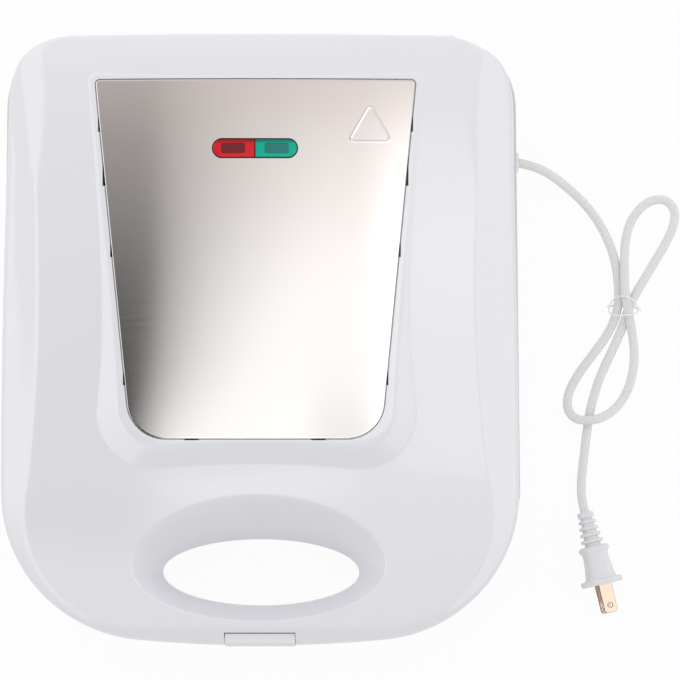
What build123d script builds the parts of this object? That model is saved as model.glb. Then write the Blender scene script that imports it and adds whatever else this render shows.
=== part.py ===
from build123d import *
from math import cos, pi, radians, sqrt, tan
import os

os.makedirs("parts", exist_ok=True)

# Plan of the casing, seen from above: X is across, +Y is the hinge side
body_depth = 351.0
rear_width = 290.0
front_width = 298.0
rear_corner = 42.0
front_corner = 85.0
front_arc = 750.0
base_overhang = 1.2
half_depth = body_depth / 2
far = body_depth + front_width

# Heights
foot_height = 6.0
base_rim = 50.0
rim_gap = 1.2
lid_rim = base_rim + rim_gap
wall = 2.5
above = 120.0

# Upper surface beside the collar and under the steel panel: share of the half depth, and height
lid_shares = [
    (1.0826, 97.5), (0.8547, 101.3), (0.5698, 101.5), (0.2849, 100.0), (0.0, 97.0),
    (-0.2849, 92.0), (-0.4558, 88.0), (-0.6838, 80.0), (-0.8547, 72.8), (-1.0826, 61.0),
]
panel_shares = [
    (1.0826, 100.0), (0.8205, 102.0), (0.5698, 102.2), (0.2849, 101.7), (0.0, 100.6),
    (-0.3077, 98.8), (-0.5698, 96.0),
]
lid_profile = [(share * half_depth, height) for share, height in lid_shares]
panel_profile = [(share * half_depth, height) for share, height in panel_shares]
crown_radius = 925.0
crown_half = front_width / 2 + 16.0

# Sloped band round the lid's edge
band_slope = 36.0
band_tilt = 3.5
band_edge = 70.0
band_behind = 24.0
band_spread = 20.0
band_reach = 34.0

# Steel panel and its collar
panel_top_half = rear_width / 2 - 56.2
panel_bottom_half = front_width / 2 - 79.5
panel_rear = half_depth - 31.3
panel_front = -0.3111 * half_depth
panel_bottom_corner = 21.0
panel_top_corner = 5.0
panel_thick = 0.6
panel_gap = 0.4
collar_top_half = panel_top_half + 6.2
collar_bottom_half = panel_bottom_half + 20.5
collar_rear = panel_rear + 6.8
collar_front = panel_front - 17.4
collar_corner = 36.0
collar_foot = 86.5
collar_crest = 99.0
collar_tilt = 1.0
tab_drop = 4.5
tab_clearance = 0.35
side_tabs = [(0.124, 7.0), (0.255, 15.0), (0.475, 6.5), (0.833, 6.5)]
front_tabs = [(-35.5, 7.0), (35.0, 7.0)]

# Pilot light
pill_length = 47.0
pill_width = 11.5
pill_y = panel_rear - 37.7
pill_gap = 0.25
lens_split = 0.3
lens_stand = 0.5
lens_flange = 2.2
lens_flange_height = 2.4
lamp_radius = 3.0
lamp_height = 7.5
lamp_x = 12.0
holder_height = 14.0

# Pressed triangle on the panel
triangle_x = 63.0
triangle_y = panel_rear - 24.4
triangle_side = 23.5
triangle_depth = 0.25

# Hand hole
hole_half_x = 56.5
hole_half_y = 19.25
hole_y = 41.9 - half_depth
flare_half_x = 85.0
flare_half_y = 43.0
flare_y = hole_y + 6.6
flare_height = 90.0
flare_foot = 57.0
base_hole_margin = 4.6

# Lower casing
base_foot_inset = 5.0
base_front = hole_y + 34.6
base_front_corner = 10.0
grip_inset = 7.5
grip_bottom = 25.0
grip_overlap = 9.0
lip_height = 3.0
lip_top = base_rim - 3.5
lip_reach = 3.5

# Cooking plates
columns = 4
rows = 3
plate_side = 17.0
plate_margin_x = 35.0
plate_margin_y = 39.0
plate_front = hole_y + hole_half_y + 29.35
plate_rear = half_depth - 46.5
plate_y = (plate_front + plate_rear) / 2
column_pitch = (rear_width - 2 * (plate_side + plate_margin_x)) / (columns - 1)
row_pitch = (plate_rear - plate_front - 2 * plate_margin_y) / (rows - 1)
ring_radius = 0.2823 * min(column_pitch, row_pitch)
dough_radius = 0.6 * ring_radius
plate_wall = 2.5
flange_thick = 3.0
plate_corner = 18.0
plate_gap = 0.5
post_inset = 12.5
post_radius = 5.0

# Heating element and pan behind each plate
element_radius = 3.25
element_depth = 9.5
element_bend = 11.0
element_inset = 4.0
pin_radius = 1.5
pin_length = 8.0
pan_depth = 16.0
pan_thick = 0.8
pan_margin = 6.0
pan_lip = 8.0
pan_corner = 10.0

# Deck frames round the plates
deck_thick = 2.5
deck_gap = 0.4
ledge_width = 3.2
ledge_thick = 2.2
ledge_gap = 0.3

# Hinge
knuckle_radius = 5.0
axis_y = half_depth - knuckle_radius
axis_z = base_rim + 1.5
ear_width = 30.0
ear_x = 85.0
lug_width = 10.0
side_play = 0.5
hinge_pin_radius = 2.0
pin_clearance = 0.05
gutter_front = half_depth - 14.0
gutter_top = axis_z - 8.0
lid_skirt = gutter_top + 4.0
skirt_front = gutter_front + 3.0
notch_top = axis_z + 8.5

# Catch in the front edge
latch_width = 40.0
latch_play = 0.5
latch_front = -half_depth
latch_inner = latch_front + 2.2
latch_back = latch_front + 7.9
latch_top = lid_rim + 12.4
latch_shoulder = lid_rim + 6.6
latch_pivot_y = latch_front + 5.1
latch_pivot_z = lid_rim + 9.4
latch_pin_radius = 1.25
nose_y = latch_front + 3.55
nose_top = base_rim - 7.4
nose_bottom = nose_top - 3.2
pocket_back = latch_back + 1.5
cheek = 2.5

# Screws, feet and inner posts
screw_clearance = 0.1
plate_screw_radius = 1.9
plate_screw_length = 11.0
plate_screw_head = 3.6
deck_screw_radius = 1.5
deck_screw_head = 3.0
deck_screw_depth = 11.0
liner_screw_length = 11.0
cover_screw_length = 5.5
post_x = rear_width / 2 - 8.0
deck_posts = [(post_x, plate_rear - 1), (post_x, plate_front + 23), (front_width / 2 - 52, hole_y + 21.6)]
deck_post_radius = 4.6
foot_radius = 9.0
foot_x = rear_width / 2 - 33.0
foot_places = [(foot_x, half_depth - 37.5), (foot_x, base_front + 29)]
foot_screw_radius = 1.9
foot_screw_length = 9.0
foot_recess = 3.2
foot_boss_height = 8.0
cover_length = rear_width - 100.0
cover_width = plate_rear - plate_front - 64.0
cover_thick = 2.0
cover_ledge = 7.0
cover_gap = 0.3
vent_count = 5
vent_pitch = 20.0
vent_length = 60.0
vent_width = 4.0
vent_x = 42.0

# Cord entry and electrics in the base
gland_y = half_depth - 71.0
gland_z = 20.0
gland_width = 12.0
gland_height = 9.0
gland_out = 6.0
gland_in = 12.0
gland_flange = 2.5
block_size = (20.0, 30.0, 13.0)
block_place = (rear_width / 2 - 35.0, gland_y - 28.5)
terminal_pitch = 9.0
terminal_radius = 2.4
lead_radius = 1.0
lead_bend = 2.0
sleeve_x = 12.0
sleeve_y = gutter_front + 5.5
sleeve_low = 20.0
sleeve_high = lid_rim + 14.8
sleeve_run = 20.0
sleeve_bend = 6.0
sleeve_radius = 2.6
sleeve_room = 0.5
sleeve_notch = 6.0
fuse_radius = 2.6
fuse_length = 16.0
fuse_x = rear_width / 2 - 47.0
fuse_gap = 0.3
stat_radius = 9.0
stat_height = 10.0
stat_tab = 4.8
stat_tab_x = 4.0
stat_tab_height = 6.0

# Cord and its tie
cord_width = 5.4
cord_end_run = 8.9
tie_radius = 0.5
tie_bend = 1.2

# Plug, lying on its flange: place in cord widths, direction, and sizes along the axis
plug_place = (7.48, -38.43)
plug_rest = 5.2
plug_run = (14.2, -60.2, 8.4)
plug_roll = 10.0
collar_length = 3.4
rib_start = 4.9
rib_count = 4
rib_pitch = 3.9
rib_thick = 1.9
rib_width = 10.4
rib_step = 0.9
rib_flatness = 0.8
shoulder_at = 20.0
shoulder_length = 3.4
plug_flange_at = 40.5
plug_face_at = 44.0
flange_width = 24.6
flange_height = 18.6
blade_root = 6.0
blade_fit = 0.05
blade_spacing = 12.7
blade_width = 6.4
wide_blade = 7.9
blade_thick = 1.5
blade_length = 17.0
blade_chamfer = 0.4
blade_hole = 1.55
blade_hole_back = 4.2


# Plan outline of the casing, drawn in by inset
def plan_face(inset=0.0, overhang=0.0, behind=0.0):
    rear = rear_width / 2 + overhang - inset
    front = front_width / 2 + overhang - inset
    back = body_depth / 2 + behind - inset
    tip = inset - body_depth / 2
    bow = front_arc - inset
    corner = tip + bow - sqrt(bow**2 - front**2)
    loop = [
        ThreePointArc((-front, corner), (0, tip), (front, corner)),
        Line((front, corner), (rear, back)),
        Line((rear, back), (-rear, back)),
        Line((-rear, back), (-front, corner)),
    ]
    face = make_face(loop)
    face = fillet(face.vertices().sort_by(Axis.Y)[:2], front_corner - inset)
    return fillet(face.vertices().sort_by(Axis.Y)[-2:], rear_corner - inset)


# Box given by its limits
def span_box(x0, x1, y0, y1, z0, z1):
    return Pos((x0 + x1) / 2, (y0 + y1) / 2, (z0 + z1) / 2) * Box(x1 - x0, y1 - y0, z1 - z0)


# Prism of a plan face between two heights
def prism(face, z0, z1):
    return extrude(Pos(0, 0, z0) * face, z1 - z0, dir=(0, 0, 1))


# Cylinder standing on z0
def post(x, y, z0, z1, radius):
    return Pos(x, y, (z0 + z1) / 2) * Cylinder(radius, z1 - z0)


# Cylinder lying along X
def rod(x0, x1, y, z, radius):
    return Pos((x0 + x1) / 2, y, z) * Rot(0, 90, 0) * Cylinder(radius, x1 - x0)


# Straight-sided solid between two faces at two heights
def ruled(low_face, z0, high_face, z1):
    return loft([Pos(0, 0, z0) * low_face, Pos(0, 0, z1) * high_face], ruled=True)


# Tube along a filleted route
def tube(points, radii, radius):
    path = FilletPolyline(*points, radius=radii)
    start = Plane(origin=path @ 0, z_dir=path % 0)
    return sweep(start * Circle(radius), path=path)


# Block whose top follows a side profile and is crowned across
def crowned_block(profile, lower=0.0):
    sag = crown_half**2 / (2 * crown_radius)
    sections = []
    for y, z in profile:
        top = z - lower
        edges = [
            Line((-crown_half, y, 0), (crown_half, y, 0)),
            Line((crown_half, y, 0), (crown_half, y, top - sag)),
            ThreePointArc((crown_half, y, top - sag), (0, y, top), (-crown_half, y, top - sag)),
            Line((-crown_half, y, top - sag), (-crown_half, y, 0)),
        ]
        sections.append(make_face(edges))
    return loft(sections)


# Tilted taper that gives the sloped band round the lid
def band_cutter(lower=0.0):
    rise = tan(radians(band_slope))
    low = plan_face(-band_spread, behind=band_behind)
    high = plan_face(band_reach, behind=band_behind)
    solid = ruled(low, -band_spread * rise, high, band_reach * rise)
    solid += prism(low, -band_edge, -band_spread * rise)
    return Pos(0, 0, band_edge - lower) * Rot(band_tilt, 0, 0) * solid


# Lid body without the collar, drawn in by a wall
def lid_body(shift=0.0):
    solid = prism(plan_face(shift), lid_skirt, above)
    solid &= band_cutter(shift / cos(radians(band_slope)))
    return solid & crowned_block(lid_profile, shift)


# Trapezoid with rounded corners, for the panel and the collar
def tapered_face(top_half, bottom_half, rear, front, top_corner, bottom_corner, grow):
    lean = (top_half - bottom_half) / (rear - front)
    top = top_half + grow * (1 + lean)
    bottom = bottom_half + grow * (1 - lean)
    face = make_face(Polyline((-top, rear + grow), (top, rear + grow), (bottom, front - grow),
                              (-bottom, front - grow), close=True))
    face = fillet(face.vertices().sort_by(Axis.Y)[:2], bottom_corner + grow)
    return fillet(face.vertices().sort_by(Axis.Y)[-2:], top_corner + grow)


def panel_face(grow=0.0):
    return tapered_face(panel_top_half, panel_bottom_half, panel_rear, panel_front,
                        panel_top_corner, panel_bottom_corner, grow)


def collar_face(grow=0.0):
    return tapered_face(collar_top_half, collar_bottom_half, collar_rear, collar_front,
                        panel_top_corner, collar_corner, grow)


# Raised island that carries the steel panel
def island(shift=0.0):
    slope = Pos(0, panel_front, 0) * Rot(collar_tilt, 0, 0) * Pos(0, -panel_front, 0)
    foot = collar_face(2 - shift)
    crest = panel_face(1 - shift)
    solid = slope * ruled(foot, collar_foot - shift, crest, collar_crest - shift)
    lower = shift + panel_thick if shift else 0.0
    return solid & crowned_block(panel_profile, lower)


# Hand hole with its flare, grown by a wall
def hand_hole(grow, bottom):
    low = Pos(0, hole_y) * Ellipse(hole_half_x + grow, hole_half_y + grow)
    high = Pos(0, flare_y) * Ellipse(flare_half_x + grow, flare_half_y + grow)
    return ruled(low, flare_foot, high, flare_height) + prism(low, bottom, flare_foot)


# Straight elliptical tube of the lower hand hole
def lower_hole(grow, z0, z1):
    more = base_hole_margin + grow
    return prism(Pos(0, hole_y) * Ellipse(hole_half_x + more, hole_half_y + more), z0, z1)


def pill_face(grow=0.0):
    return Pos(0, pill_y) * SlotOverall(pill_length + 2 * grow, pill_width + 2 * grow)


# Ring along the panel's edge, kept only where the bent tabs are
def tab_ring(outer, inner, extra):
    low = panel_profile[-1][1] - 12
    ring = prism(panel_face(outer), low, above) - prism(panel_face(inner), low, above)
    spots = []
    for share, length in side_tabs:
        y = panel_rear + share * (panel_front - panel_rear)
        reach = length / 2 + extra
        for side in (-1, 1):
            spots.append(Pos(side * panel_top_half, y, collar_crest) * Box(60, 2 * reach, 60))
    for x, length in front_tabs:
        spots.append(Pos(x, panel_front, collar_crest) * Box(length + 2 * extra, 12, 60))
    return ring & Part() + spots


def mirrored(places):
    return [(side * x, y) for x, y in places for side in (-1, 1)]


# Upper casing
def make_lid_shell():
    outer = lid_body() + island()
    outer -= span_box(-far, far, -far, skirt_front, 0, lid_rim)
    shell = outer - (lid_body(wall) + island(wall))
    funnel = (hand_hole(wall, lid_rim) & outer)
    pocket = span_box(-latch_width / 2 - latch_play - cheek, latch_width / 2 + latch_play + cheek,
                      latch_front - 5, pocket_back + cheek, lid_rim, above) & outer
    low = lid_rim + deck_thick + deck_gap
    stubs = (Part() + [post(x, y, low, above, deck_post_radius) for x, y in mirrored(deck_posts)]) & outer
    lugs = []
    for side in (-1, 1):
        for offset in (-1, 1):
            middle = side * ear_x + offset * (ear_width / 2 + side_play + lug_width / 2)
            x0 = middle - lug_width / 2
            x1 = middle + lug_width / 2
            lugs.append(rod(x0, x1, axis_y, axis_z, knuckle_radius))
            lugs.append(span_box(x0, x1, axis_y - knuckle_radius, half_depth, axis_z, notch_top + 4))
    shell = shell + funnel + pocket + stubs + (Part() + lugs)
    shell -= hand_hole(0, grip_bottom)
    seat = prism(panel_face(panel_gap), base_rim, above) - crowned_block(panel_profile, panel_thick)
    shell -= seat
    shell -= tab_ring(tab_clearance, -panel_thick - tab_clearance, 0.5)
    shell -= prism(pill_face(0.6), base_rim, above)
    reach = latch_width / 2 + latch_play
    shell -= span_box(-reach, reach, -far, pocket_back, foot_height, above)
    for side in (-1, 1):
        reach = ear_width / 2 + side_play
        shell -= span_box(side * ear_x - reach, side * ear_x + reach, gutter_front, far, foot_height, notch_top)
    for side in (-1, 1):
        reach = ear_width / 2 + side_play + lug_width + 1
        x = side * ear_x
        shell -= rod(x - reach, x + reach, axis_y, axis_z, hinge_pin_radius + pin_clearance)
    reach = latch_width / 2 + latch_play + cheek + 1
    shell -= rod(-reach, reach, latch_pivot_y, latch_pivot_z, latch_pin_radius + pin_clearance)
    for x, y in mirrored(deck_posts):
        shell -= post(x, y, lid_rim, lid_rim + liner_screw_length + 3, deck_screw_radius + screw_clearance)
    shell -= turned_over(ledge_room(base_rim))
    shell -= span_box(sleeve_x - sleeve_notch, sleeve_x + sleeve_notch, gutter_front, far, foot_height, notch_top)
    return shell


# Brushed inlay with bent tabs, window and pressed triangle
def make_steel_panel():
    sheet = prism(panel_face(), base_rim, above) & crowned_block(panel_profile)
    sheet -= crowned_block(panel_profile, panel_thick)
    tabs = tab_ring(0, -panel_thick, 0) & crowned_block(panel_profile, 0.1)
    tabs -= crowned_block(panel_profile, panel_thick + tab_drop)
    sheet = sheet + tabs
    sheet -= prism(pill_face(pill_gap), base_rim, above)
    mark = Pos(triangle_x, triangle_y) * RegularPolygon(triangle_side / sqrt(3), 3, rotation=90)
    mark = fillet(mark.vertices(), 2.0)
    groove = mark - offset(mark, -0.9)
    sheet -= prism(groove, base_rim, above) - crowned_block(panel_profile, triangle_depth)
    return sheet


# One coloured half of the pilot light
def make_lens(side):
    top = panel_height(pill_y) + lens_stand
    low = panel_height(pill_y) - panel_thick - wall - 1.0
    body = prism(pill_face(), low - lens_flange_height, top)
    rim = prism(pill_face(lens_flange), low - lens_flange_height, low)
    body = chamfer((body).faces().sort_by(Axis.Z)[-1].edges(), 0.4) + rim
    edge = lens_split / 2
    if side < 0:
        return body & span_box(-far, -edge, 0, far, 0, above)
    return body & span_box(edge, far, 0, far, 0, above)


def panel_height(y):
    for (y1, z1), (y0, z0) in zip(panel_profile, panel_profile[1:]):
        if y0 <= y <= y1:
            return z0 + (z1 - z0) * (y - y0) / (y1 - y0)


def holder_top():
    return panel_height(pill_y) - panel_thick - wall - 0.8


# Frame that carries the lenses and lamps under the panel
def make_lens_holder():
    top = holder_top()
    bottom = top - holder_height
    seat = top - lens_flange_height - 0.4
    outer = prism(Pos(0, pill_y) * RectangleRounded(pill_length + 14, pill_width + 12, 3), bottom, top)
    outer -= prism(pill_face(lens_flange + 0.3), seat, top + 1)
    for side in (-1, 1):
        x = side * lamp_x
        outer -= span_box(x - 5, x + 5, pill_y - 5, pill_y + 5, bottom + 1.5, seat + 1)
    return outer


def make_pilot_lamps():
    low = holder_top() - holder_height + 2.0
    lamps = []
    for side in (-1, 1):
        lamps.append(post(side * lamp_x, pill_y, low, low + lamp_height, lamp_radius))
    return Part() + lamps


# Centres of the ring cavities
def ring_places():
    places = []
    for i in range(columns):
        for j in range(rows):
            x = (i - (columns - 1) / 2) * column_pitch
            y = plate_y + (j - (rows - 1) / 2) * row_pitch
            places.append((x, y))
    return places


def plate_half_x():
    return (columns - 1) / 2 * column_pitch + plate_margin_x


def plate_half_y():
    return (rows - 1) / 2 * row_pitch + plate_margin_y


def plate_face(grow=0.0):
    return Pos(0, plate_y) * RectangleRounded(2 * (plate_half_x() + grow), 2 * (plate_half_y() + grow),
                                              plate_corner + grow)


def post_places():
    x = plate_half_x() - post_inset
    y = plate_half_y() - post_inset
    return [(sx * x, plate_y + sy * y) for sx in (-1, 1) for sy in (-1, 1)]


# Cast plate with ring cavities, its cooking face at the rim
def make_lower_plate():
    top = base_rim
    solid = prism(plate_face(), top - flange_thick, top)
    bumps = [Pos(x, y, top) * Torus(ring_radius, dough_radius + plate_wall) for x, y in ring_places()]
    posts = [post(x, y, top - pan_depth, top - 1, post_radius) for x, y in post_places()]
    solid = solid + bumps + posts
    solid &= span_box(-far, far, -far, far, 0, top)
    solid -= [Pos(x, y, top) * Torus(ring_radius, dough_radius) for x, y in ring_places()]
    low = top - pan_depth
    return solid - [post(x, y, low - 1, low + plate_screw_length, plate_screw_radius + screw_clearance)
                    for x, y in post_places()]


# Tubular element looped between the rows, with a pin at each end
def make_lower_element():
    z = base_rim - element_depth
    x0 = (columns / 2 - 1) * column_pitch * -1
    y0 = plate_y - row_pitch / 2
    y1 = plate_y + row_pitch / 2
    x1 = plate_half_x() - element_inset
    body = tube([(x1, y1, z), (x0, y1, z), (x0, y0, z), (x1, y0, z)], element_bend, element_radius)
    pins = [rod(x1 - 1, x1 + pin_length, y, z, pin_radius) for y in (y0, y1)]
    return body + pins


# Sheet-metal pan behind the element
def make_lower_pan():
    z = base_rim - pan_depth
    half_x = plate_half_x() - pan_margin
    half_y = plate_half_y() - pan_margin / 2
    face = Pos(0, plate_y) * RectangleRounded(2 * half_x, 2 * half_y, pan_corner)
    inner = Pos(0, plate_y) * RectangleRounded(2 * (half_x - pan_thick), 2 * (half_y - pan_thick),
                                               pan_corner - pan_thick)
    solid = prism(face, z - pan_thick, base_rim - pan_lip) - prism(inner, z, base_rim)
    for x, y in post_places():
        solid -= post(x, y, z - 2, z + 1, plate_screw_radius + screw_clearance)
    for j in (-1, 1):
        y = plate_y + j * row_pitch / 2
        solid -= rod(half_x - 4, half_x + 4, y, base_rim - element_depth, element_radius + 0.5)
    return solid


# Pan-head screw, head at z and shaft along the sign of way
def screw(x, y, z, way, radius, length, head, head_height):
    shaft = post(x, y, min(z, z + way * length), max(z, z + way * length), radius)
    cap = post(x, y, min(z, z - way * head_height), max(z, z - way * head_height), head)
    slot = Pos(x, y, z - way * head_height) * Box(head * 1.3, 0.8, 1.2)
    return shaft + cap - slot


def make_lower_plate_screws():
    z = base_rim - pan_depth - pan_thick
    length = plate_screw_length + pan_thick - 0.5
    return Part() + [screw(x, y, z, 1, plate_screw_radius, length, plate_screw_head, 2.4)
                     for x, y in post_places()]


# The upper set is the lower one turned over about the middle of the gap
def turned_over(solid):
    return mirror(solid, Plane.XY.offset(base_rim + rim_gap / 2))


def turned_z(z):
    return base_rim + lid_rim - z


# Frame that fills the rim round a plate, with a ledge behind the plate's flange
def deck(solid_face, top):
    solid = prism(solid_face, top - deck_thick, top)
    ledge_top = top - flange_thick - ledge_gap
    ledge = plate_face(ledge_width + plate_gap)
    solid += prism(ledge, ledge_top - ledge_thick, top - 0.5)
    solid -= prism(plate_face(plate_gap), ledge_top, top + 1)
    return solid - prism(plate_face(-ledge_width), ledge_top - 10, top + 1)


# Room round a deck's ledge in the casing that it closes
def ledge_room(top):
    low = top - flange_thick - ledge_gap - ledge_thick - ledge_gap
    return prism(plate_face(ledge_width + plate_gap + deck_gap), low, top + 1)


def make_base_deck():
    body = deck(base_plan(wall + deck_gap, 0.0), base_rim)
    body &= span_box(-far, far, -far, gutter_front - wall - deck_gap, 0, above)
    grip = prism(plan_face(grip_inset + wall + deck_gap), base_rim - deck_thick, base_rim)
    solid = body + (grip & span_box(-far, far, -far, base_front + grip_overlap, 0, above))
    solid -= lower_hole(wall + deck_gap, 0, above)
    low = base_rim - deck_thick
    for x, y in mirrored(base_posts()):
        solid -= post(x, y, low - 1, low + 1.6, deck_screw_radius + screw_clearance)
    return solid


def make_lid_liner():
    solid = turned_over(deck(plan_face(wall + deck_gap), base_rim))
    solid &= span_box(-far, far, -far, gutter_front, 0, above)
    more = wall + deck_gap
    solid -= prism(Pos(0, hole_y) * Ellipse(hole_half_x + more, hole_half_y + more), 0, above)
    reach = latch_width / 2 + latch_play + cheek + deck_gap
    solid -= span_box(-reach, reach, -far, pocket_back + cheek + deck_gap, 0, above)
    for x, y in mirrored(deck_posts):
        solid -= post(x, y, lid_rim - 1, lid_rim + 10, deck_screw_radius + screw_clearance)
        solid -= post(x, y, lid_rim - 1, lid_rim + 1.6, deck_screw_head + 0.3)
    return solid


def make_liner_screws():
    z = lid_rim + 1.5
    return Part() + [screw(x, y, z, 1, deck_screw_radius, liner_screw_length, deck_screw_head, 1.3)
                     for x, y in mirrored(deck_posts)]


# The front posts stand further in under the grip, because the grip is narrower
def base_posts():
    return [(x, y) if y > base_front else (x - grip_inset, y) for x, y in deck_posts]


# Half the casing's width at a depth
def half_width(y):
    along = (body_depth / 2 - y) / body_depth
    return (rear_width + (front_width - rear_width) * along) / 2


# Plan of the base's main body, cut straight behind the grip
def base_plan(inset, foot):
    inward = inset + foot - base_overhang
    rear = body_depth / 2 - inset - foot
    front = base_front + inset
    back = half_width(rear) - inward
    fore = half_width(front) - inward
    face = make_face(Polyline((-back, rear), (back, rear), (fore, front), (-fore, front), close=True))
    face = fillet(face.vertices().sort_by(Axis.Y)[:2], base_front_corner)
    return fillet(face.vertices().sort_by(Axis.Y)[-2:], rear_corner - inset - foot)


def base_body(shift, bottom):
    low = base_plan(shift, base_foot_inset)
    high = base_plan(shift, 0.0)
    main = ruled(low, foot_height, high, base_rim)
    main &= span_box(-far, far, -far, far, bottom, base_rim)
    grip = prism(plan_face(grip_inset + shift), grip_bottom + shift, base_rim)
    return main + (grip & span_box(-far, far, -far, base_front + grip_overlap - shift, 0, above))


# Outline of the bottom cover, grown by a margin
def cover_face(grow, corner):
    return Pos(0, plate_y) * RectangleRounded(cover_length + 2 * grow, cover_width + 2 * grow, corner)


# Lower casing
def make_base_shell():
    outer = base_body(0.0, foot_height)
    inner = base_body(wall, foot_height + wall)
    inner += prism(base_plan(wall + 1, 0.0), base_rim - 4, base_rim + 1)
    shell = outer - inner
    shell += lower_hole(wall, grip_bottom, base_rim)
    floor_top = foot_height + wall
    shell += prism(cover_face(3, 8), floor_top - 1, floor_top + 2)
    for x, y in mirrored(base_posts()):
        low = grip_bottom if y < base_front else foot_height
        shell += post(x, y, low, base_rim - deck_thick - 0.3, deck_post_radius)
    for x, y in mirrored(foot_places):
        shell += post(x, y, foot_height, foot_height + foot_boss_height, deck_post_radius)
    rear_wall = span_box(-far, far, gutter_front - wall, gutter_front, foot_height, base_rim)
    gutter = span_box(-far, far, gutter_front - wall, far, gutter_top - wall, gutter_top)
    shell += (rear_wall + gutter) & base_body(0.0, gutter_top - wall)
    shell -= span_box(-far, far, gutter_front, far, gutter_top, above)
    for side in (-1, 1):
        x0 = side * ear_x - ear_width / 2
        x1 = side * ear_x + ear_width / 2
        shell += rod(x0, x1, axis_y, axis_z, knuckle_radius)
        shell += span_box(x0, x1, axis_y - knuckle_radius, half_depth, gutter_top - 1, axis_z)
        shell -= rod(x0 - 1, x1 + 1, axis_y, axis_z, hinge_pin_radius + pin_clearance)
    lip = prism(plan_face(grip_inset - lip_reach), lip_top - lip_height, lip_top)
    lip &= span_box(-latch_width / 2 - 4, latch_width / 2 + 4, -far, latch_front + grip_inset + 3, 0, above)
    shell += lip
    shell -= lower_hole(0.0, 0, above)
    shell -= ledge_room(base_rim)
    shell -= prism(cover_face(cover_gap, 5), 0, floor_top - 0.3)
    shell -= prism(cover_face(-cover_ledge, 3), 0, floor_top + 5)
    for x, y in mirrored(base_posts()):
        low = base_rim - deck_thick - deck_screw_depth
        shell -= post(x, y, 0, low, deck_screw_head + 0.3)
        shell -= post(x, y, low - 1, base_rim, deck_screw_radius + screw_clearance)
    for x, y in mirrored(foot_places):
        shell -= post(x, y, 0, foot_height + foot_boss_height - 1, foot_screw_radius + screw_clearance)
    for x, y in cover_screw_places():
        shell -= post(x, y, 0, floor_top + 5, deck_screw_radius + screw_clearance)
    room = sleeve_radius + sleeve_room
    shell -= post(sleeve_x, sleeve_y, gutter_top - wall - 1, gutter_top + 1, room)
    shell -= Pos(sleeve_x, gutter_front, sleeve_low) * Rot(90, 0, 0) * Cylinder(room, 3 * wall)
    return shell - gland_window()


def cover_screw_places():
    x = cover_length / 2 - cover_ledge / 2
    y = cover_width / 2 - cover_ledge / 2
    return [(sx * x, plate_y + sy * y) for sx in (-1, 1) for sy in (-1, 1)]


# Outer face of the base's side wall where the cord leaves
def gland_wall_x():
    lean = base_foot_inset / (base_rim - foot_height)
    return half_width(gland_y) + base_overhang - lean * (base_rim - gland_z)


def gland_block(x0, x1, grow):
    return span_box(x0, x1, gland_y - gland_width / 2 - grow, gland_y + gland_width / 2 + grow,
                    gland_z - gland_height / 2 - grow, gland_z + gland_height / 2 + grow)


def gland_window():
    x = gland_wall_x()
    return gland_block(x - 12, x + 12, 0.15)


# Outer face of the strain relief, where the cord starts
def gland_face_x():
    return gland_wall_x() + gland_out


# Moulded strain relief, tapered outside and flanged inside the wall
def make_cord_gland():
    x = gland_wall_x()
    body = gland_block(x - gland_in, x + gland_out, 0)
    body = chamfer(body.faces().sort_by(Axis.X)[-1].edges(), 1.2)
    back = x - wall - gland_flange
    body += gland_block(back - gland_flange, back, gland_flange)
    return body


def make_bottom_cover():
    top = foot_height + wall - 0.5
    solid = prism(cover_face(0, 5), top - cover_thick, top)
    for i in range(vent_count):
        for side in (-1, 1):
            y = plate_y + (i - (vent_count - 1) / 2) * vent_pitch
            solid -= prism(Pos(side * vent_x, y) * SlotOverall(vent_length, vent_width), 0, top + 1)
    for x, y in cover_screw_places():
        solid -= post(x, y, 0, above, deck_screw_radius + screw_clearance)
    return solid


def make_cover_screws():
    z = foot_height + wall - 0.5 - cover_thick
    return Part() + [screw(x, y, z, 1, deck_screw_radius, cover_screw_length, deck_screw_head, 1.2)
                     for x, y in cover_screw_places()]


def make_deck_screws():
    z = base_rim - deck_thick - deck_screw_depth
    length = deck_screw_depth + 1.4
    return Part() + [screw(x, y, z, 1, deck_screw_radius, length, deck_screw_head, 1.6)
                     for x, y in mirrored(base_posts())]


def make_feet():
    feet = []
    for x, y in mirrored(foot_places):
        low = Pos(x, y) * Circle(foot_radius - 1.2)
        foot = ruled(low, 0, Pos(x, y) * Circle(foot_radius), foot_height)
        foot -= post(x, y, -1, foot_recess, plate_screw_head + 0.4)
        foot -= post(x, y, 0, foot_height + 1, foot_screw_radius + screw_clearance)
        feet.append(foot)
    return Part() + feet


def make_foot_screws():
    return Part() + [screw(x, y, foot_recess, 1, foot_screw_radius, foot_screw_length, plate_screw_head, 1.8)
                     for x, y in mirrored(foot_places)]


def make_hinge_pins():
    pins = []
    for side in (-1, 1):
        reach = ear_width / 2 + side_play + lug_width - 0.5
        pins.append(rod(side * ear_x - reach, side * ear_x + reach, axis_y, axis_z, hinge_pin_radius))
    return Part() + pins


# Catch: cap flush with the lid's front edge, arm and nose below
def make_latch():
    half = latch_width / 2
    points = [
        (latch_back, latch_shoulder), (latch_back, latch_top), (latch_front + 2.6, latch_top - 0.9),
        (latch_front + 0.5, latch_top - 2.4), (latch_front, latch_top - 4.2),
        (latch_front, nose_bottom + 0.9), (latch_front + 0.9, nose_bottom), (nose_y - 0.9, nose_bottom),
        (nose_y, nose_bottom + 0.9), (nose_y, nose_top - 0.7), (latch_inner, nose_top),
        (latch_inner, latch_shoulder - 1.6), (latch_inner + 1.2, latch_shoulder),
    ]
    outline = Polyline(*[(-half, y, z) for y, z in points], close=True)
    solid = extrude(make_face(outline), latch_width, dir=(1, 0, 0))
    return solid - rod(-half - 1, half + 1, latch_pivot_y, latch_pivot_z, latch_pin_radius + pin_clearance)


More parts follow.
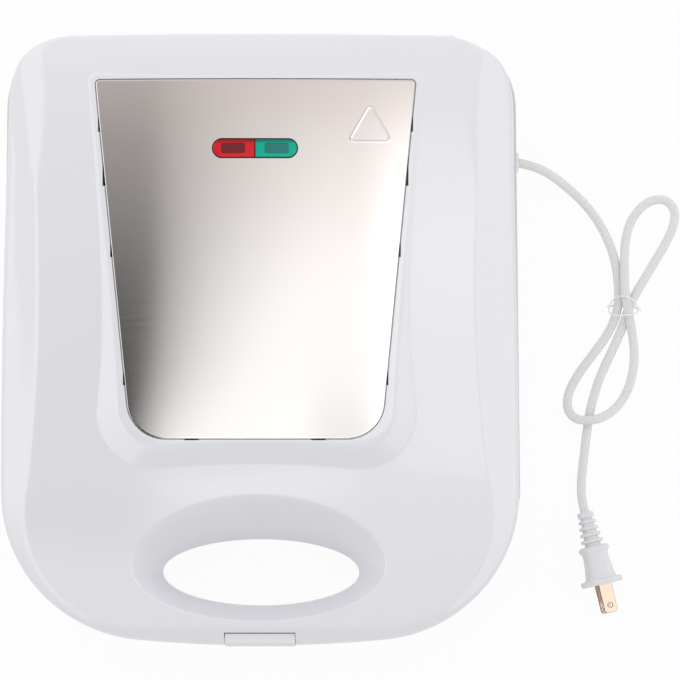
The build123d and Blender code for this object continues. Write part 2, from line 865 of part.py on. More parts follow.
def make_latch_pin():
    reach = latch_width / 2 + latch_play + cheek - 0.3
    return rod(-reach, reach, latch_pivot_y, latch_pivot_z, latch_pin_radius)


# Small block where the leads are joined
def block_base():
    return foot_height + wall + 2.2


def make_terminal_block():
    length, width, height = block_size
    x, y = block_place
    z = block_base()
    solid = span_box(x - length / 2, x + length / 2, y - width / 2, y + width / 2, z, z + height)
    return solid - [post(x, y + i * terminal_pitch, z + height - 4, z + height + 1, terminal_radius)
                    for i in (-1, 0, 1)]


# Cut-out in its sleeve, under the lower pan
def fuse_z():
    return base_rim - pan_depth - pan_thick - fuse_radius - fuse_gap


def make_thermal_fuse():
    return Pos(fuse_x, plate_y, fuse_z()) * Rot(90, 0, 0) * Cylinder(fuse_radius, fuse_length)


# Snap-disc control on the upper pan
def stat_z():
    return turned_z(base_rim - pan_depth - pan_thick) + fuse_gap


def make_thermostat():
    z = stat_z()
    top = z + stat_height
    tab = span_box(-stat_tab / 2, stat_tab / 2, plate_y - 0.5, plate_y + 0.5, top - 1, top + stat_tab_height)
    return post(0, plate_y, z, top, stat_radius) + [Pos(side * stat_tab_x) * tab for side in (-1, 1)]


# Ends of the four leads in the sleeve
def sleeve_leads():
    return [(sleeve_x + i * 1.05, k * 1.05) for i in (-1, 1) for k in (-1, 1)]


def leads(runs):
    return Part() + [tube(points, lead_bend, lead_radius) for points in runs]


# Leads of the base: from gland, sleeve, element pins and cut-out to the terminal block
def make_base_wiring():
    length, width, height = block_size
    x, y = block_place
    z = block_base() + height / 2
    right = x + length / 2
    left = x - length / 2
    inner = gland_wall_x() - gland_in
    pin = plate_half_x() - element_inset + pin_length
    side = pin + 5
    low = base_rim - element_depth
    runs = []
    for j in (-1, 1):
        runs.append([(inner, gland_y + 2 * j, gland_z), (inner - 5, gland_y + 2 * j, gland_z),
                     (right + 5.5, y + 5 * j, z), (right, y + 5 * j, z)])
    rear = plate_y + row_pitch / 2
    runs.append([(pin, rear, low), (side, rear, low), (side, rear + 2, z + 4), (right + 6, y - 10, z),
                 (right, y - 10, z)])
    front = plate_y - row_pitch / 2
    fuse_front = plate_y - fuse_length / 2
    deep = fuse_z()
    runs.append([(fuse_x, fuse_front, deep), (fuse_x, fuse_front - 8, deep), (side - 4, front, deep - 4),
                 (side, front, low - 5), (side, front, low), (pin, front, low)])
    fuse_rear = plate_y + fuse_length / 2
    runs.append([(fuse_x, fuse_rear, deep), (fuse_x, fuse_rear + 8, deep), (x, y - width / 2 - 7, z),
                 (x, y - width / 2, z)])
    start = sleeve_y - sleeve_run
    for n, (lead, rise) in enumerate(sleeve_leads()):
        end = y + (n - 1.5) * 6
        runs.append([(lead, start, sleeve_low + rise), (lead, start - 5, sleeve_low + rise),
                     (left - 9, end, z), (left, end, z)])
    return leads(runs)


# Glass-fibre sleeve with the leads that cross beside the hinge axis
def make_hinge_leads():
    start = sleeve_y - sleeve_run
    places = [(start, sleeve_low), (sleeve_y, sleeve_low), (sleeve_y, sleeve_high), (start, sleeve_high)]
    return tube([(sleeve_x, y, z) for y, z in places], sleeve_bend, sleeve_radius)


# Leads of the lid: from the sleeve to the lamps, the control and the element pins
def make_lid_wiring():
    start = sleeve_y - sleeve_run
    pin = plate_half_x() - element_inset + pin_length
    side = pin + 5
    low = lid_rim + element_depth
    rear = plate_y + row_pitch / 2
    front = plate_y - row_pitch / 2
    (x0, z0), (x1, z1), (x2, z2), (x3, z3) = [(x, sleeve_high + z) for x, z in sleeve_leads()]
    top = holder_top() - holder_height
    stat_rise = stat_z() + stat_height + stat_tab_height - 2
    tab_end = stat_tab_x + stat_tab / 2
    runs = [
        [(x0, start, z0), (x0, start - 4, z0), (x0 - 2, start - 14, z0 + 9),
         (-tab_end - 6, plate_y + 12, stat_rise + 4), (-tab_end - 6, plate_y, stat_rise),
         (-tab_end, plate_y, stat_rise)],
        [(x2, start, z2), (x2, start - 6, z2), (side - 10, start - 10, z2), (side, rear + 14, low + 5),
         (side, rear, low), (pin, rear, low)],
        [(x1, start, z1), (x1, start - 9, z1), (-lamp_x, pill_y + 6, top - 8), (-lamp_x, pill_y, top - 5),
         (-lamp_x, pill_y, top)],
        [(x3, start, z3), (x3, start - 9, z3), (lamp_x, pill_y + 6, top - 8), (lamp_x, pill_y, top - 5),
         (lamp_x, pill_y, top)],
        [(tab_end, plate_y, stat_rise), (tab_end + 8, plate_y, stat_rise), (side - 14, front - 6, low + 14),
         (side, front - 4, low + 5), (side, front, low), (pin, front, low)],
    ]
    return leads(runs)


# Bow of the cord in cord widths, from the floor below the gland's outer face: across, back and up
cord_bow = [
    (3.74, -0.72, 2.89), (5.54, -2.20, 1.59), (7.07, -3.80, 0.72), (8.46, -5.35, 0.52),
    (9.57, -7.13, 0.51), (10.48, -9.17, 0.51), (11.04, -11.31, 0.56), (11.26, -13.43, 0.72),
    (11.24, -15.57, 0.77), (10.70, -17.46, 0.67), (9.76, -19.20, 0.52), (8.41, -20.98, 0.51),
    (6.89, -22.98, 0.51), (5.81, -24.91, 0.54), (5.48, -26.48, 0.78), (5.89, -27.69, 1.22),
    (6.93, -28.28, 1.65), (8.87, -28.17, 1.65), (10.15, -27.57, 1.19), (11.19, -26.69, 0.72),
    (12.09, -25.39, 0.52), (12.70, -23.80, 0.51), (13.04, -21.76, 0.51), (12.98, -19.91, 0.63),
    (12.70, -18.24, 1.11), (12.41, -16.83, 1.78), (11.91, -14.26, 1.80), (11.87, -12.31, 1.43),
    (11.89, -10.28, 0.87), (12.00, -8.33, 0.52), (12.52, -6.35, 0.51), (13.52, -4.80, 0.51),
    (14.81, -3.87, 0.51), (16.19, -3.69, 0.51), (17.19, -4.28, 0.51), (17.59, -5.43, 0.51),
    (17.30, -6.94, 0.51), (16.52, -8.61, 0.51), (15.37, -10.54, 0.51), (14.19, -12.50, 0.52),
    (13.20, -14.17, 0.65), (12.37, -15.83, 0.77), (11.80, -17.69, 0.67), (10.96, -19.72, 0.52),
    (9.93, -21.83, 0.51), (8.93, -24.17, 0.51), (8.19, -26.72, 0.51), (7.80, -29.17, 0.51),
    (7.52, -31.57, 0.51), (7.30, -33.43, 0.51), (7.13, -35.09, 0.56),
]


# Direction of the plug, away from the cord
def plug_axis():
    return Vector(*plug_run).normalized()


# Place where the cord enters the plug
def plug_start():
    x, y = plug_place
    return Vector(gland_face_x() + x * cord_width, gland_y + y * cord_width, plug_rest)


# Points of the cord: straight out of the gland, round the bow and straight into the plug
def cord_route():
    x = gland_face_x()
    points = [(x, gland_y, gland_z), (x + cord_end_run, gland_y, gland_z)]
    points += [(x + a * cord_width, gland_y + b * cord_width, c * cord_width) for a, b, c in cord_bow]
    end = plug_start()
    return points + [tuple(end - plug_axis() * cord_end_run), tuple(end)]


# Radii of a cord's corners, as large as the two runs allow
def corner_radii(points):
    radii = []
    for a, b, c in zip(points, points[1:], points[2:]):
        before = Vector(*b) - Vector(*a)
        after = Vector(*c) - Vector(*b)
        turn = before.get_angle(after)
        shorter = min(before.length, after.length)
        radii.append(0.45 * shorter / tan(radians(turn) / 2))
    return radii


def make_power_cord():
    route = cord_route()
    radii = corner_radii(route)
    print("cord radii in widths:", [round(r / cord_width, 1) for r in radii])
    path = FilletPolyline(*route, radius=radii)
    start = Plane(origin=path @ 0, z_dir=path % 0)
    solid = sweep(start * Circle(cord_width / 2), path=path)
    print("cord length", round(path.length, 1), "volume ratio",
          round(solid.volume / (pi * cord_width**2 / 4 * path.length), 4))
    return solid


# Thin wire twisted once round the three strands, in the same units
tie_bow = [
    (13.67, -16.17, 1.37), (12.96, -15.02, 2.11), (11.96, -14.50, 2.54), (10.93, -14.54, 1.96),
    (10.26, -15.28, 1.30), (10.04, -16.13, 1.19), (10.52, -16.63, 1.74), (11.37, -16.65, 2.43),
    (12.56, -16.57, 2.57), (13.33, -16.31, 1.85), (13.41, -15.87, 0.85), (12.85, -15.57, 0.11),
    (11.19, -15.54, 0.11), (10.37, -15.57, 0.30), (10.00, -15.65, 0.78),
]


def make_cord_tie():
    x = gland_face_x()
    route = [(x + a * cord_width, gland_y + b * cord_width, c * cord_width) for a, b, c in tie_bow]
    return tube(route, tie_bend, tie_radius)


# Plane across the plug's axis, at a distance from the cord end
def plug_plane(along):
    axis = plug_axis()
    across = axis.cross(Vector(0, 0, 1)).normalized().rotate(Axis((0, 0, 0), axis), plug_roll)
    return Plane(origin=plug_start() + axis * along, x_dir=across, z_dir=axis)


# Rounded slice of the plug, straight or tapered
def plug_slice(z0, size0, z1, size1):
    low = plug_plane(z0) * RectangleRounded(*size0)
    high = plug_plane(z1) * RectangleRounded(*size1)
    return loft([low, high], ruled=True)


# Moulded plug: collar, ribbed neck, shoulder, grip and flange
def make_plug_body():
    collar = (cord_width + 4.4, cord_width + 2.0, 3.0)
    shoulder = (flange_width - 7, flange_height - 4, 4.0)
    grip = (flange_width - 10.2, flange_height - 5.6, 3.5)
    waist = shoulder_at + shoulder_length
    body = plug_slice(0, (cord_width + 3.4, cord_width + 1.4, 2.5), 1.0, collar)
    body += plug_slice(1.0, collar, collar_length, collar)
    body += plug_slice(collar_length - 0.4, (7.0, 5.6, 2.0), shoulder_at + 0.5, (9.6, 9.0, 2.5))
    for i in range(rib_count):
        width = rib_width + i * rib_step
        z = rib_start + i * rib_pitch
        size = (width, width * rib_flatness, 3.0)
        body += plug_slice(z, size, z + rib_thick, size)
    body += plug_slice(shoulder_at, (flange_width - 9, flange_height - 6, 3.0), shoulder_at + 1.6, shoulder)
    body += plug_slice(shoulder_at + 1.6, shoulder, waist, shoulder)
    body += plug_slice(waist, grip, plug_flange_at, (flange_width - 7, flange_height - 3, 3.5))
    flange = (flange_width, flange_height, 7.0)
    body += plug_slice(plug_flange_at, flange, plug_face_at, flange)
    return body - [blade(side, blade_fit) for side in (-1, 1)]


# One flat blade, sunk into the plug by its root
def blade(side, grow=0.0):
    width = wide_blade if side > 0 else blade_width
    low = plug_plane(plug_face_at - blade_root)
    section = low * Pos(0, side * blade_spacing / 2) * Rectangle(width + 2 * grow, blade_thick + 2 * grow)
    return extrude(section, blade_root + blade_length, dir=low.z_dir)


def make_plug_blades():
    blades = []
    for side in (-1, 1):
        piece = blade(side)
        tip = plug_plane(plug_face_at + blade_length - blade_hole_back)
        bore = Plane(origin=tip.origin, x_dir=tip.x_dir, z_dir=tip.y_dir)
        piece = chamfer(piece.faces().sort_by(Axis.Y)[0].edges(), blade_chamfer)
        blades.append(piece - bore * Cylinder(blade_hole, 40))
    return Part() + blades


parts = {
    "power_cord": make_power_cord,
    "cord_tie": make_cord_tie,
    "plug_body": make_plug_body,
    "plug_blades": make_plug_blades,
    "hinge_leads": make_hinge_leads,
    "lid_wiring": make_lid_wiring,
    "lid_shell": make_lid_shell,
    "steel_panel": make_steel_panel,
    "red_lens": lambda: make_lens(-1),
    "green_lens": lambda: make_lens(1),
    "lens_holder": make_lens_holder,
    "pilot_lamps": make_pilot_lamps,
    "lower_plate": make_lower_plate,
    "lower_heater": make_lower_element,
    "lower_reflector": make_lower_pan,
    "lower_plate_screws": make_lower_plate_screws,
    "base_deck": make_base_deck,
    "lid_liner": make_lid_liner,
    "liner_screws": make_liner_screws,
    "base_shell": make_base_shell,
    "cord_gland": make_cord_gland,
    "bottom_cover": make_bottom_cover,
    "cover_screws": make_cover_screws,
    "deck_screws": make_deck_screws,
    "feet": make_feet,
    "foot_screws": make_foot_screws,
    "hinge_pins": make_hinge_pins,
    "latch": make_latch,
    "latch_pin": make_latch_pin,
    "terminal_block": make_terminal_block,
    "thermal_fuse": make_thermal_fuse,
    "thermostat": make_thermostat,
    "base_wiring": make_base_wiring,
}
turned = {
    "upper_plate": "lower_plate",
    "upper_heater": "lower_heater",
    "upper_reflector": "lower_reflector",
    "upper_plate_screws": "lower_plate_screws",
}

solids = {name: make() for name, make in parts.items()}
for name, source in turned.items():
    solids[name] = turned_over(solids[source])
for name, solid in solids.items():
    export_step(solid, f"parts/{name}.step")
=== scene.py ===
import math
import bpy
import bmesh
import numpy as np
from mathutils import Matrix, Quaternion, Vector
from mathutils.geometry import delaunay_2d_cdt


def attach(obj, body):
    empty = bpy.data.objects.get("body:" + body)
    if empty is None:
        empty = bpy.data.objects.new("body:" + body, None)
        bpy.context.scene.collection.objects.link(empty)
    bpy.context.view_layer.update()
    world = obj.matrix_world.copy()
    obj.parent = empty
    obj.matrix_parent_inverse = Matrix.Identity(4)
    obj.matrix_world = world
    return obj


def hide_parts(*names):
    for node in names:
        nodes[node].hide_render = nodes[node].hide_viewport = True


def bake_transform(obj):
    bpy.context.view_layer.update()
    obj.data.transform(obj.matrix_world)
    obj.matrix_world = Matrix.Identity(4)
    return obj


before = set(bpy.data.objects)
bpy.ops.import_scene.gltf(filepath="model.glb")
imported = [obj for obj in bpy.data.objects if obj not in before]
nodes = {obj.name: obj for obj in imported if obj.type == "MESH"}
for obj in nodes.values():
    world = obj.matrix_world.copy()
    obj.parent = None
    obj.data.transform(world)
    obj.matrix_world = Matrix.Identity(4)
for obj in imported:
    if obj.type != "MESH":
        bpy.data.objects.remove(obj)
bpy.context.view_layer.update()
mm = 0.001
print("frame loaded:", len(nodes), "nodes")
# small helpers, used by every piece below

def linear(hexText):
    # sRGB hex to the linear values that the shader wants
    channels = [int(hexText[k:k + 2], 16) / 255 for k in (1, 3, 5)]
    return tuple(c / 12.92 if c <= 0.04045 else ((c + 0.055) / 1.055) ** 2.4 for c in channels) + (1.0,)


def addNode(tree, kind, values=None, links=None, **settings):
    node = tree.nodes.new(kind)
    for name, value in settings.items():
        setattr(node, name, value)
    for name, value in (values or {}).items():
        node.inputs[name].default_value = value
    for name, socket in (links or {}).items():
        tree.links.new(socket, node.inputs[name])
    return node

def newMaterial(name, color, roughness, metallic=0.0, ior=1.5, **more):
    material = bpy.data.materials.new(name)
    material.use_nodes = True
    tree = material.node_tree
    shader = tree.nodes["Principled BSDF"]
    inputs = {"Base Color": linear(color), "Roughness": roughness, "Metallic": metallic, "IOR": ior, **more}
    for key, value in inputs.items():
        shader.inputs[key].default_value = value
    return material, tree, shader


def objectCoords(tree, scale=(1, 1, 1), rotation=(0, 0, 0)):
    # patterns are laid out in metres on the piece, so that a scale of 1000 is one cycle a millimetre
    coords = addNode(tree, "ShaderNodeTexCoord")
    return addNode(tree, "ShaderNodeMapping", {"Scale": scale, "Rotation": rotation},
                   {"Vector": coords.outputs["Object"]}).outputs["Vector"]


def useGrain(tree, shader, pattern, rough=None, bump=None):
    # lets a pattern vary the roughness between two values and lift the skin by a strength and a depth in metres
    if rough:
        values = {"From Min": 0.3, "From Max": 0.7, "To Min": rough[0], "To Max": rough[1]}
        tone = addNode(tree, "ShaderNodeMapRange", values, {"Value": pattern})
        tree.links.new(tone.outputs["Result"], shader.inputs["Roughness"])
    if bump:
        lift = addNode(tree, "ShaderNodeBump", {"Strength": bump[0], "Distance": bump[1]}, {"Height": pattern})
        tree.links.new(lift.outputs["Normal"], shader.inputs["Normal"])


def addGrain(tree, shader, grains, detail=2.0, fine=0.5, rough=None, bump=None):
    # noise, with its grains to a metre along X, Y and Z
    noise = addNode(tree, "ShaderNodeTexNoise", {"Scale": 1.0, "Detail": detail, "Roughness": fine},
                    {"Vector": objectCoords(tree, grains)})
    useGrain(tree, shader, noise.outputs["Fac"], rough, bump)


def paintNodes(material, *names):
    for name in names:
        target = nodes[name]
        if not target.material_slots:
            target.data.materials.append(material)
        for slot in target.material_slots:
            slot.material = material


def newObject(name, data):
    made = bpy.data.objects.new(name, data)
    bpy.context.scene.collection.objects.link(made)
    return made


def newPiece(name, points, faces, *materials):
    mesh = bpy.data.meshes.new(name)
    mesh.from_pydata([tuple(p) for p in points], [], faces)
    mesh.update()
    for material in materials:
        mesh.materials.append(material)
    return newObject(name, mesh)


def smoothShade(piece, angle=35):
    # smooth faces, with the edges over this angle kept sharp
    mesh = piece.data
    mesh.shade_smooth()
    mesh.set_sharp_from_angle(angle=math.radians(angle))

def cleanMesh(mesh, merge=0.0):
    # joins points nearer than merge, and turns every face outwards
    bm = bmesh.new()
    bm.from_mesh(mesh)
    if merge:
        bmesh.ops.remove_doubles(bm, verts=bm.verts, dist=merge)
    bmesh.ops.recalc_face_normals(bm, faces=bm.faces)
    bm.to_mesh(mesh)
    bm.free()


def cornerNormals(mesh):
    # the point and the normal of every corner of every face
    corner = np.zeros(len(mesh.loops), int)
    mesh.loops.foreach_get("vertex_index", corner)
    normals = np.zeros(len(mesh.loops) * 3)
    mesh.corner_normals.foreach_get("vector", normals)
    return corner, normals.reshape(-1, 3)


def unit(vectors):
    return vectors / np.maximum(np.linalg.norm(vectors, axis=-1, keepdims=True), 1e-6)


def slope(field, x, y, h):
    # how fast a height or distance grows along X and along Y
    return (field(x + h, y) - field(x - h, y)) / (2 * h), (field(x, y + h) - field(x, y - h)) / (2 * h)


def crossing(over, low, high):
    # halves the gap between low and high down to the place where over turns true
    for _ in range(26):
        mid = (low + high) / 2
        above = over(mid)
        high = np.where(above, mid, high)
        low = np.where(above, low, mid)
    return (low + high) / 2


def arcPoints(center, radius, start, end, count, withEnd=False):
    angles = [start + (end - start) * k / count for k in range(count + withEnd)]
    return [(center[0] + radius * math.cos(a), center[1] + radius * math.sin(a)) for a in angles]


def linePoints(a, b, count):
    # even steps from a towards b, without b
    return [tuple(Vector(a).lerp(Vector(b), k / count)) for k in range(count)]


def joinArcs(arcs, counts):
    # closed loop of arcs and the straight runs between them, each in a count of steps
    loop = []
    for k, arc in enumerate(arcs):
        loop += arc + linePoints(arc[-1], arcs[(k + 1) % len(arcs)][0], counts[k])[1:]
    return np.array(loop)


def distanceTo(loop, x, y):
    # distance to a closed polyline, positive inside
    px, py = np.ravel(x), np.ravel(y)
    best = np.full(len(px), 1e9)
    inside = np.zeros(len(px), bool)
    for (ax, ay), (bx, by) in zip(loop, np.roll(loop, -1, 0)):
        dx, dy = bx - ax, by - ay
        squared = dx * dx + dy * dy
        if squared < 1e-12:
            continue
        t = np.clip(((px - ax) * dx + (py - ay) * dy) / squared, 0, 1)
        best = np.minimum(best, (px - ax - t * dx) ** 2 + (py - ay - t * dy) ** 2)
        inside ^= ((ay > py) != (by > py)) & (px < dx * (py - ay) / (dy + 1e-12) + ax)
    gap = np.sqrt(best)
    return np.where(inside, gap, -gap).reshape(np.shape(x))


def gridPoints(step):
    # staggered rows over the whole lid
    xs = np.arange(-150, 150, step)
    rows = [np.stack([xs + (step / 2 if k % 2 else 0), np.full(len(xs), y)], 1)
            for k, y in enumerate(np.arange(-177, 177, step * 0.866))]
    return np.concatenate(rows)


class Shell:
    # gathers points in mm and faces with a tag, ring by ring

    def __init__(self):
        self.points = []
        self.faces = []
        self.tags = []

    def add(self, points):
        start = len(self.points)
        self.points += [tuple(p) for p in points]
        return list(range(start, len(self.points)))

    def ring(self, loop, height):
        # the height is one number, a number for each point, or a function of the place
        if callable(height):
            height = height(*loop.T)
        return self.add((x, y, z) for (x, y), z in zip(loop, np.broadcast_to(height, (len(loop),))))

    def face(self, corners, tag=0):
        self.faces.append(tuple(corners))
        self.tags.append(tag)

    def bridge(self, rings, tag=0):
        # joins each ring to the next, and gives back the last
        for a, b in zip(rings, rings[1:]):
            for k in range(len(a)):
                j = (k + 1) % len(a)
                self.face((a[k], a[j], b[j], b[k]), tag)
        return rings[-1]

    def solid(self, rings):
        # through the rings, with a flat face at each end
        self.bridge(rings)
        self.face(rings[0][::-1])
        self.face(rings[-1])

    def fill(self, outer, holes, extra, height, tag=0, flip=False):
        # fills between rings with triangles on a field of extra points
        rings = [outer] + holes
        ids = [index for ring in rings for index in ring]
        flat = [self.points[index][:2] for index in ids]
        # rounded as the triangulation rounds them, or thin triangles on a straight edge are lost
        loops = [np.float32([self.points[index][:2] for index in ring]).astype(float) for ring in rings]
        edges = []
        for ring in rings:
            first = len(edges)
            edges += [(first + k, first + (k + 1) % len(ring)) for k in range(len(ring))]

        def within(x, y, margin):
            inside = distanceTo(loops[0], x, y) > margin
            for loop in loops[1:]:
                inside &= distanceTo(loop, x, y) < -margin
            return inside
        if len(extra):
            extra = extra[within(*extra.T, 1.1)]
            ids += self.add((x, y, float(z)) for (x, y), z in zip(extra, height(*extra.T)))
            flat += [tuple(p) for p in extra]
        places, _, triangles, origin = delaunay_2d_cdt([Vector(p) for p in flat], edges, [], 0, 1e-6)[:4]
        names = [ids[o[0]] if o else None for o in origin]
        middles = np.array([[sum(places[i][c] for i in t) / 3 for c in (0, 1)] for t in triangles])
        for t, good in zip(triangles, within(*middles.T, 0)):
            corners = [names[i] for i in t]
            if good and None not in corners:
                self.face(corners[::-1] if flip else corners, tag)

    def piece(self, name, *materials):
        # with more than one material, the tags say which face has which
        made = newPiece(name, [(x * mm, y * mm, z * mm) for x, y, z in self.points], self.faces, *materials)
        if len(materials) > 1:
            made.data.polygons.foreach_set("material_index", self.tags)
        return made


# the camera, at the photograph's straight view from above
view = {
    "height": 1.300,         # metres over the table
    "nadir": (0.0885, 0.0),  # the point right under the camera
    "nadirPixel": (415, 340),
    "pixel": 0.0006,         # metres of table for one pixel of the 680
    "frame": 680,
    "sensor": 36,
}
optics = bpy.data.cameras.new("viewCamera")
optics.sensor_width = view["sensor"]
optics.lens = view["sensor"] * view["height"] / (view["frame"] * view["pixel"])
optics.shift_x = (view["frame"] / 2 - view["nadirPixel"][0]) / view["frame"]
optics.shift_y = (view["nadirPixel"][1] - view["frame"] / 2) / view["frame"]
optics.clip_end = 20
camera = newObject("viewCamera", optics)
camera.location = (*view["nadir"], view["height"])
bpy.context.scene.camera = camera
bpy.context.scene.view_settings.view_transform = "Standard"


# the cord: soft vinyl over two conductors, side by side, in mm
cord = {
    "width": 5.4,
    "thick": 3.3,
    "ridge": 0.42,       # depth of the drawn grooves
    "ribs": 4,
    "gland": (149.6, 104.5, 20.0),
    "endRun": 8.9,
}
plug = {
    "start": (7.48, -38.43, 5.2),    # given as the cord's points are
    "run": (14.2, -60.2, 8.4),
    "roll": -10.0,
}
# across and back from the gland in cord widths as in the CAD, and the height over the table in mm
cordBow = [
    (1.20, -0.17, 19.5), (3.45, -1.06, 15.6), (5.39, -2.42, 8.6), (7.07, -3.80, 3.4), (8.46, -5.35, 1.8),
    (9.57, -7.13, 1.65),
    (10.48, -9.17, 1.65), (11.04, -11.31, 1.8), (11.26, -13.43, 2.4), (11.24, -15.57, 2.9),
    (10.70, -17.46, 2.3), (9.76, -19.20, 1.7), (8.41, -20.98, 1.65), (6.89, -22.98, 1.65),
    (5.81, -24.91, 1.8), (5.48, -26.48, 2.6), (5.89, -27.69, 4.2), (6.93, -28.28, 5.4), (8.87, -28.17, 5.4),
    (10.15, -27.57, 4.0), (11.19, -26.69, 2.3), (12.09, -25.39, 1.7), (12.70, -23.80, 1.65),
    (13.04, -21.76, 1.65), (12.98, -19.91, 2.0), (12.70, -18.24, 3.6), (12.41, -16.83, 6.2),
    (11.91, -14.26, 6.5), (11.87, -12.31, 5.2), (11.89, -10.28, 3.3), (12.00, -8.33, 1.8),
    (12.52, -6.35, 1.65), (13.52, -4.80, 1.65), (14.81, -3.87, 1.65), (16.19, -3.69, 1.65),
    (17.19, -4.28, 1.65), (17.59, -5.43, 1.65), (17.30, -6.94, 1.65), (16.52, -8.61, 1.65),
    (15.37, -10.54, 1.65), (14.19, -12.50, 1.75), (13.20, -14.17, 2.3), (12.37, -15.83, 2.9),
    (11.80, -17.69, 2.3), (10.96, -19.72, 1.7), (9.93, -21.83, 1.65), (8.93, -24.17, 1.65),
    (8.19, -26.72, 1.65), (7.80, -29.17, 1.65), (7.52, -31.57, 1.65), (7.30, -33.43, 1.75),
    (7.13, -35.09, 2.4),
]

def fromGland(across, back, height):
    gx, gy = cord["gland"][:2]
    return Vector((gx + across * cord["width"], gy + back * cord["width"], height))


plugStart = fromGland(*plug["start"])
plugAxis = Vector(plug["run"]).normalized()
plugAcross = plugAxis.cross(Vector((0, 0, 1))).normalized()
plugAcross.rotate(Quaternion(plugAxis, math.radians(plug["roll"])))
plugUp = plugAxis.cross(plugAcross).normalized()


def nurbsCurve(name, points, material, depth=0.0, profile=None):
    curve = bpy.data.curves.new(name, "CURVE")
    curve.dimensions = "3D"
    spline = curve.splines.new("NURBS")
    spline.points.add(len(points) - 1)
    for point, place in zip(spline.points, points):
        point.co = (place[0] * mm, place[1] * mm, place[2] * mm, 1)
    spline.order_u = 3
    spline.use_endpoint_u = True
    spline.resolution_u = 6
    curve.twist_mode = "Z_UP"
    curve.use_fill_caps = True
    if profile:
        curve.bevel_mode = "OBJECT"
        curve.bevel_object = profile
    else:
        curve.bevel_depth = depth * mm
        curve.bevel_resolution = 5
    curve.materials.append(material)
    return newObject(name, curve)


def twinProfile():
    # flat oval over the two conductors, with rounded ribs drawn along both faces
    half = cord["width"] / 2
    pitch = cord["width"] / cord["ribs"]
    face = []
    for k in range(1, 60):
        x = half * math.sin(math.pi * (k / 60 - 0.5))
        dome = cord["thick"] / 2 * (1 - abs(x / half) ** 2.2) ** 0.5
        across = ((x / pitch + cord["ribs"] / 2) % 1) * 2 - 1
        valley = 1 - math.sqrt(1 - 0.96 * across * across)
        face.append((x, dome - cord["ridge"] * valley * min(dome, 1)))
    points = [(-half, 0.0)] + face + [(half, 0.0)] + [(x, -y) for x, y in face[::-1]]
    curve = bpy.data.curves.new("cordSection", "CURVE")
    curve.dimensions = "2D"
    spline = curve.splines.new("POLY")
    spline.points.add(len(points) - 1)
    for point, (x, y) in zip(spline.points, points):
        point.co = (x * mm, y * mm, 0, 1)
    spline.use_cyclic_u = True
    return bpy.data.objects.new("cordSection", curve)


# soft vinyl, extruded: semi-matt, pale cool grey, with fine drawn lines that only just catch the light;
# its skin varies over 1.4 mm
vinyl, tree, shader = newMaterial("extrudedVinyl", "#e6e6e4", 0.38, ior=1.52)
addGrain(tree, shader, (700, 700, 700), 3.0, 0.6, rough=(0.34, 0.46), bump=(0.04, 0.0001))

cordPoints = [Vector(cord["gland"])] + [fromGland(*p) for p in cordBow]
cordPoints += [plugStart - plugAxis * cord["endRun"], plugStart]
cordPiece = nurbsCurve("mainsCord", cordPoints, vinyl, profile=twinProfile())
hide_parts("power_cord")
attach(cordPiece, "base")

# the tie: coated wire, twisted once round the three strands, drawn smooth with a clean shine
tieBow = [
    (13.67, -16.17, 7.4), (12.96, -15.02, 9.0), (11.96, -14.50, 9.6), (10.93, -14.54, 8.0), (10.26, -15.28, 6.2),
    (10.04, -16.13, 5.6), (10.52, -16.63, 7.4), (11.37, -16.65, 9.1), (12.56, -16.57, 9.2),
    (13.33, -16.31, 7.6), (13.41, -15.87, 3.6), (12.85, -15.57, 0.57), (11.19, -15.54, 0.57),
    (10.37, -15.57, 1.4), (10.00, -15.65, 3.6),
]
coatedWire = newMaterial("coatedTieWire", "#f3f4f6", 0.3)[0]
tiePiece = nurbsCurve("cordTie", [fromGland(*p) for p in tieBow], coatedWire, depth=0.5)
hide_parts("cord_tie")
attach(tiePiece, "base")
print("cord and tie made")


# the plug: moulded vinyl, lofted from rounded sections along its axis
plugSections = [
    # along, width, height, squareness; all in mm from the place where the cord enters
    (0.0, 6.2, 4.6, 2.6), (0.0, 8.8, 6.4, 2.6), (0.7, 9.6, 7.2, 2.8), (2.9, 9.6, 7.2, 2.8),
    (3.4, 9.2, 6.8, 2.8), (3.45, 7.2, 5.4, 2.6), (4.85, 7.4, 5.6, 2.6),
]
for rib in range(4):
    start = 4.9 + rib * 3.9
    width = 10.4 + rib * 0.9
    core = 7.4 + rib * 0.6
    plugSections += [
        (start, width - 1.0, width * 0.8 - 1.0, 2.8), (start + 0.3, width, width * 0.8, 3.0),
        (start + 1.6, width, width * 0.8, 3.0), (start + 1.9, width - 1.0, width * 0.8 - 1.0, 2.8),
        (start + 1.95, core, core * 0.84, 2.6), (start + 3.85, core + 0.5, (core + 0.5) * 0.86, 2.6),
    ]
plugSections += [
    (20.6, 14.6, 11.6, 3.4), (21.2, 16.6, 13.6, 3.6), (22.0, 17.6, 14.6, 3.6), (23.2, 17.6, 14.6, 3.6),
    (23.9, 16.6, 13.8, 3.6), (24.6, 14.9, 13.3, 3.4), (27.0, 14.4, 13.2, 3.4), (32.0, 15.2, 14.0, 3.4),
    (37.0, 16.5, 15.0, 3.4), (39.8, 17.6, 15.9, 3.4), (40.4, 19.5, 16.8, 3.2), (40.7, 23.6, 17.8, 3.0),
    (41.1, 24.4, 18.5, 3.0), (43.5, 24.4, 18.5, 3.0), (43.9, 23.8, 18.0, 3.0), (44.0, 23.0, 17.2, 3.0),
]


def roundedSection(width, height, power, count=56):
    # between an ellipse and a rectangle
    turns = [(math.cos(2 * math.pi * k / count), math.sin(2 * math.pi * k / count)) for k in range(count)]
    return [(math.copysign(abs(c) ** (2 / power), c) * width / 2,
             math.copysign(abs(s) ** (2 / power), s) * height / 2) for c, s in turns]


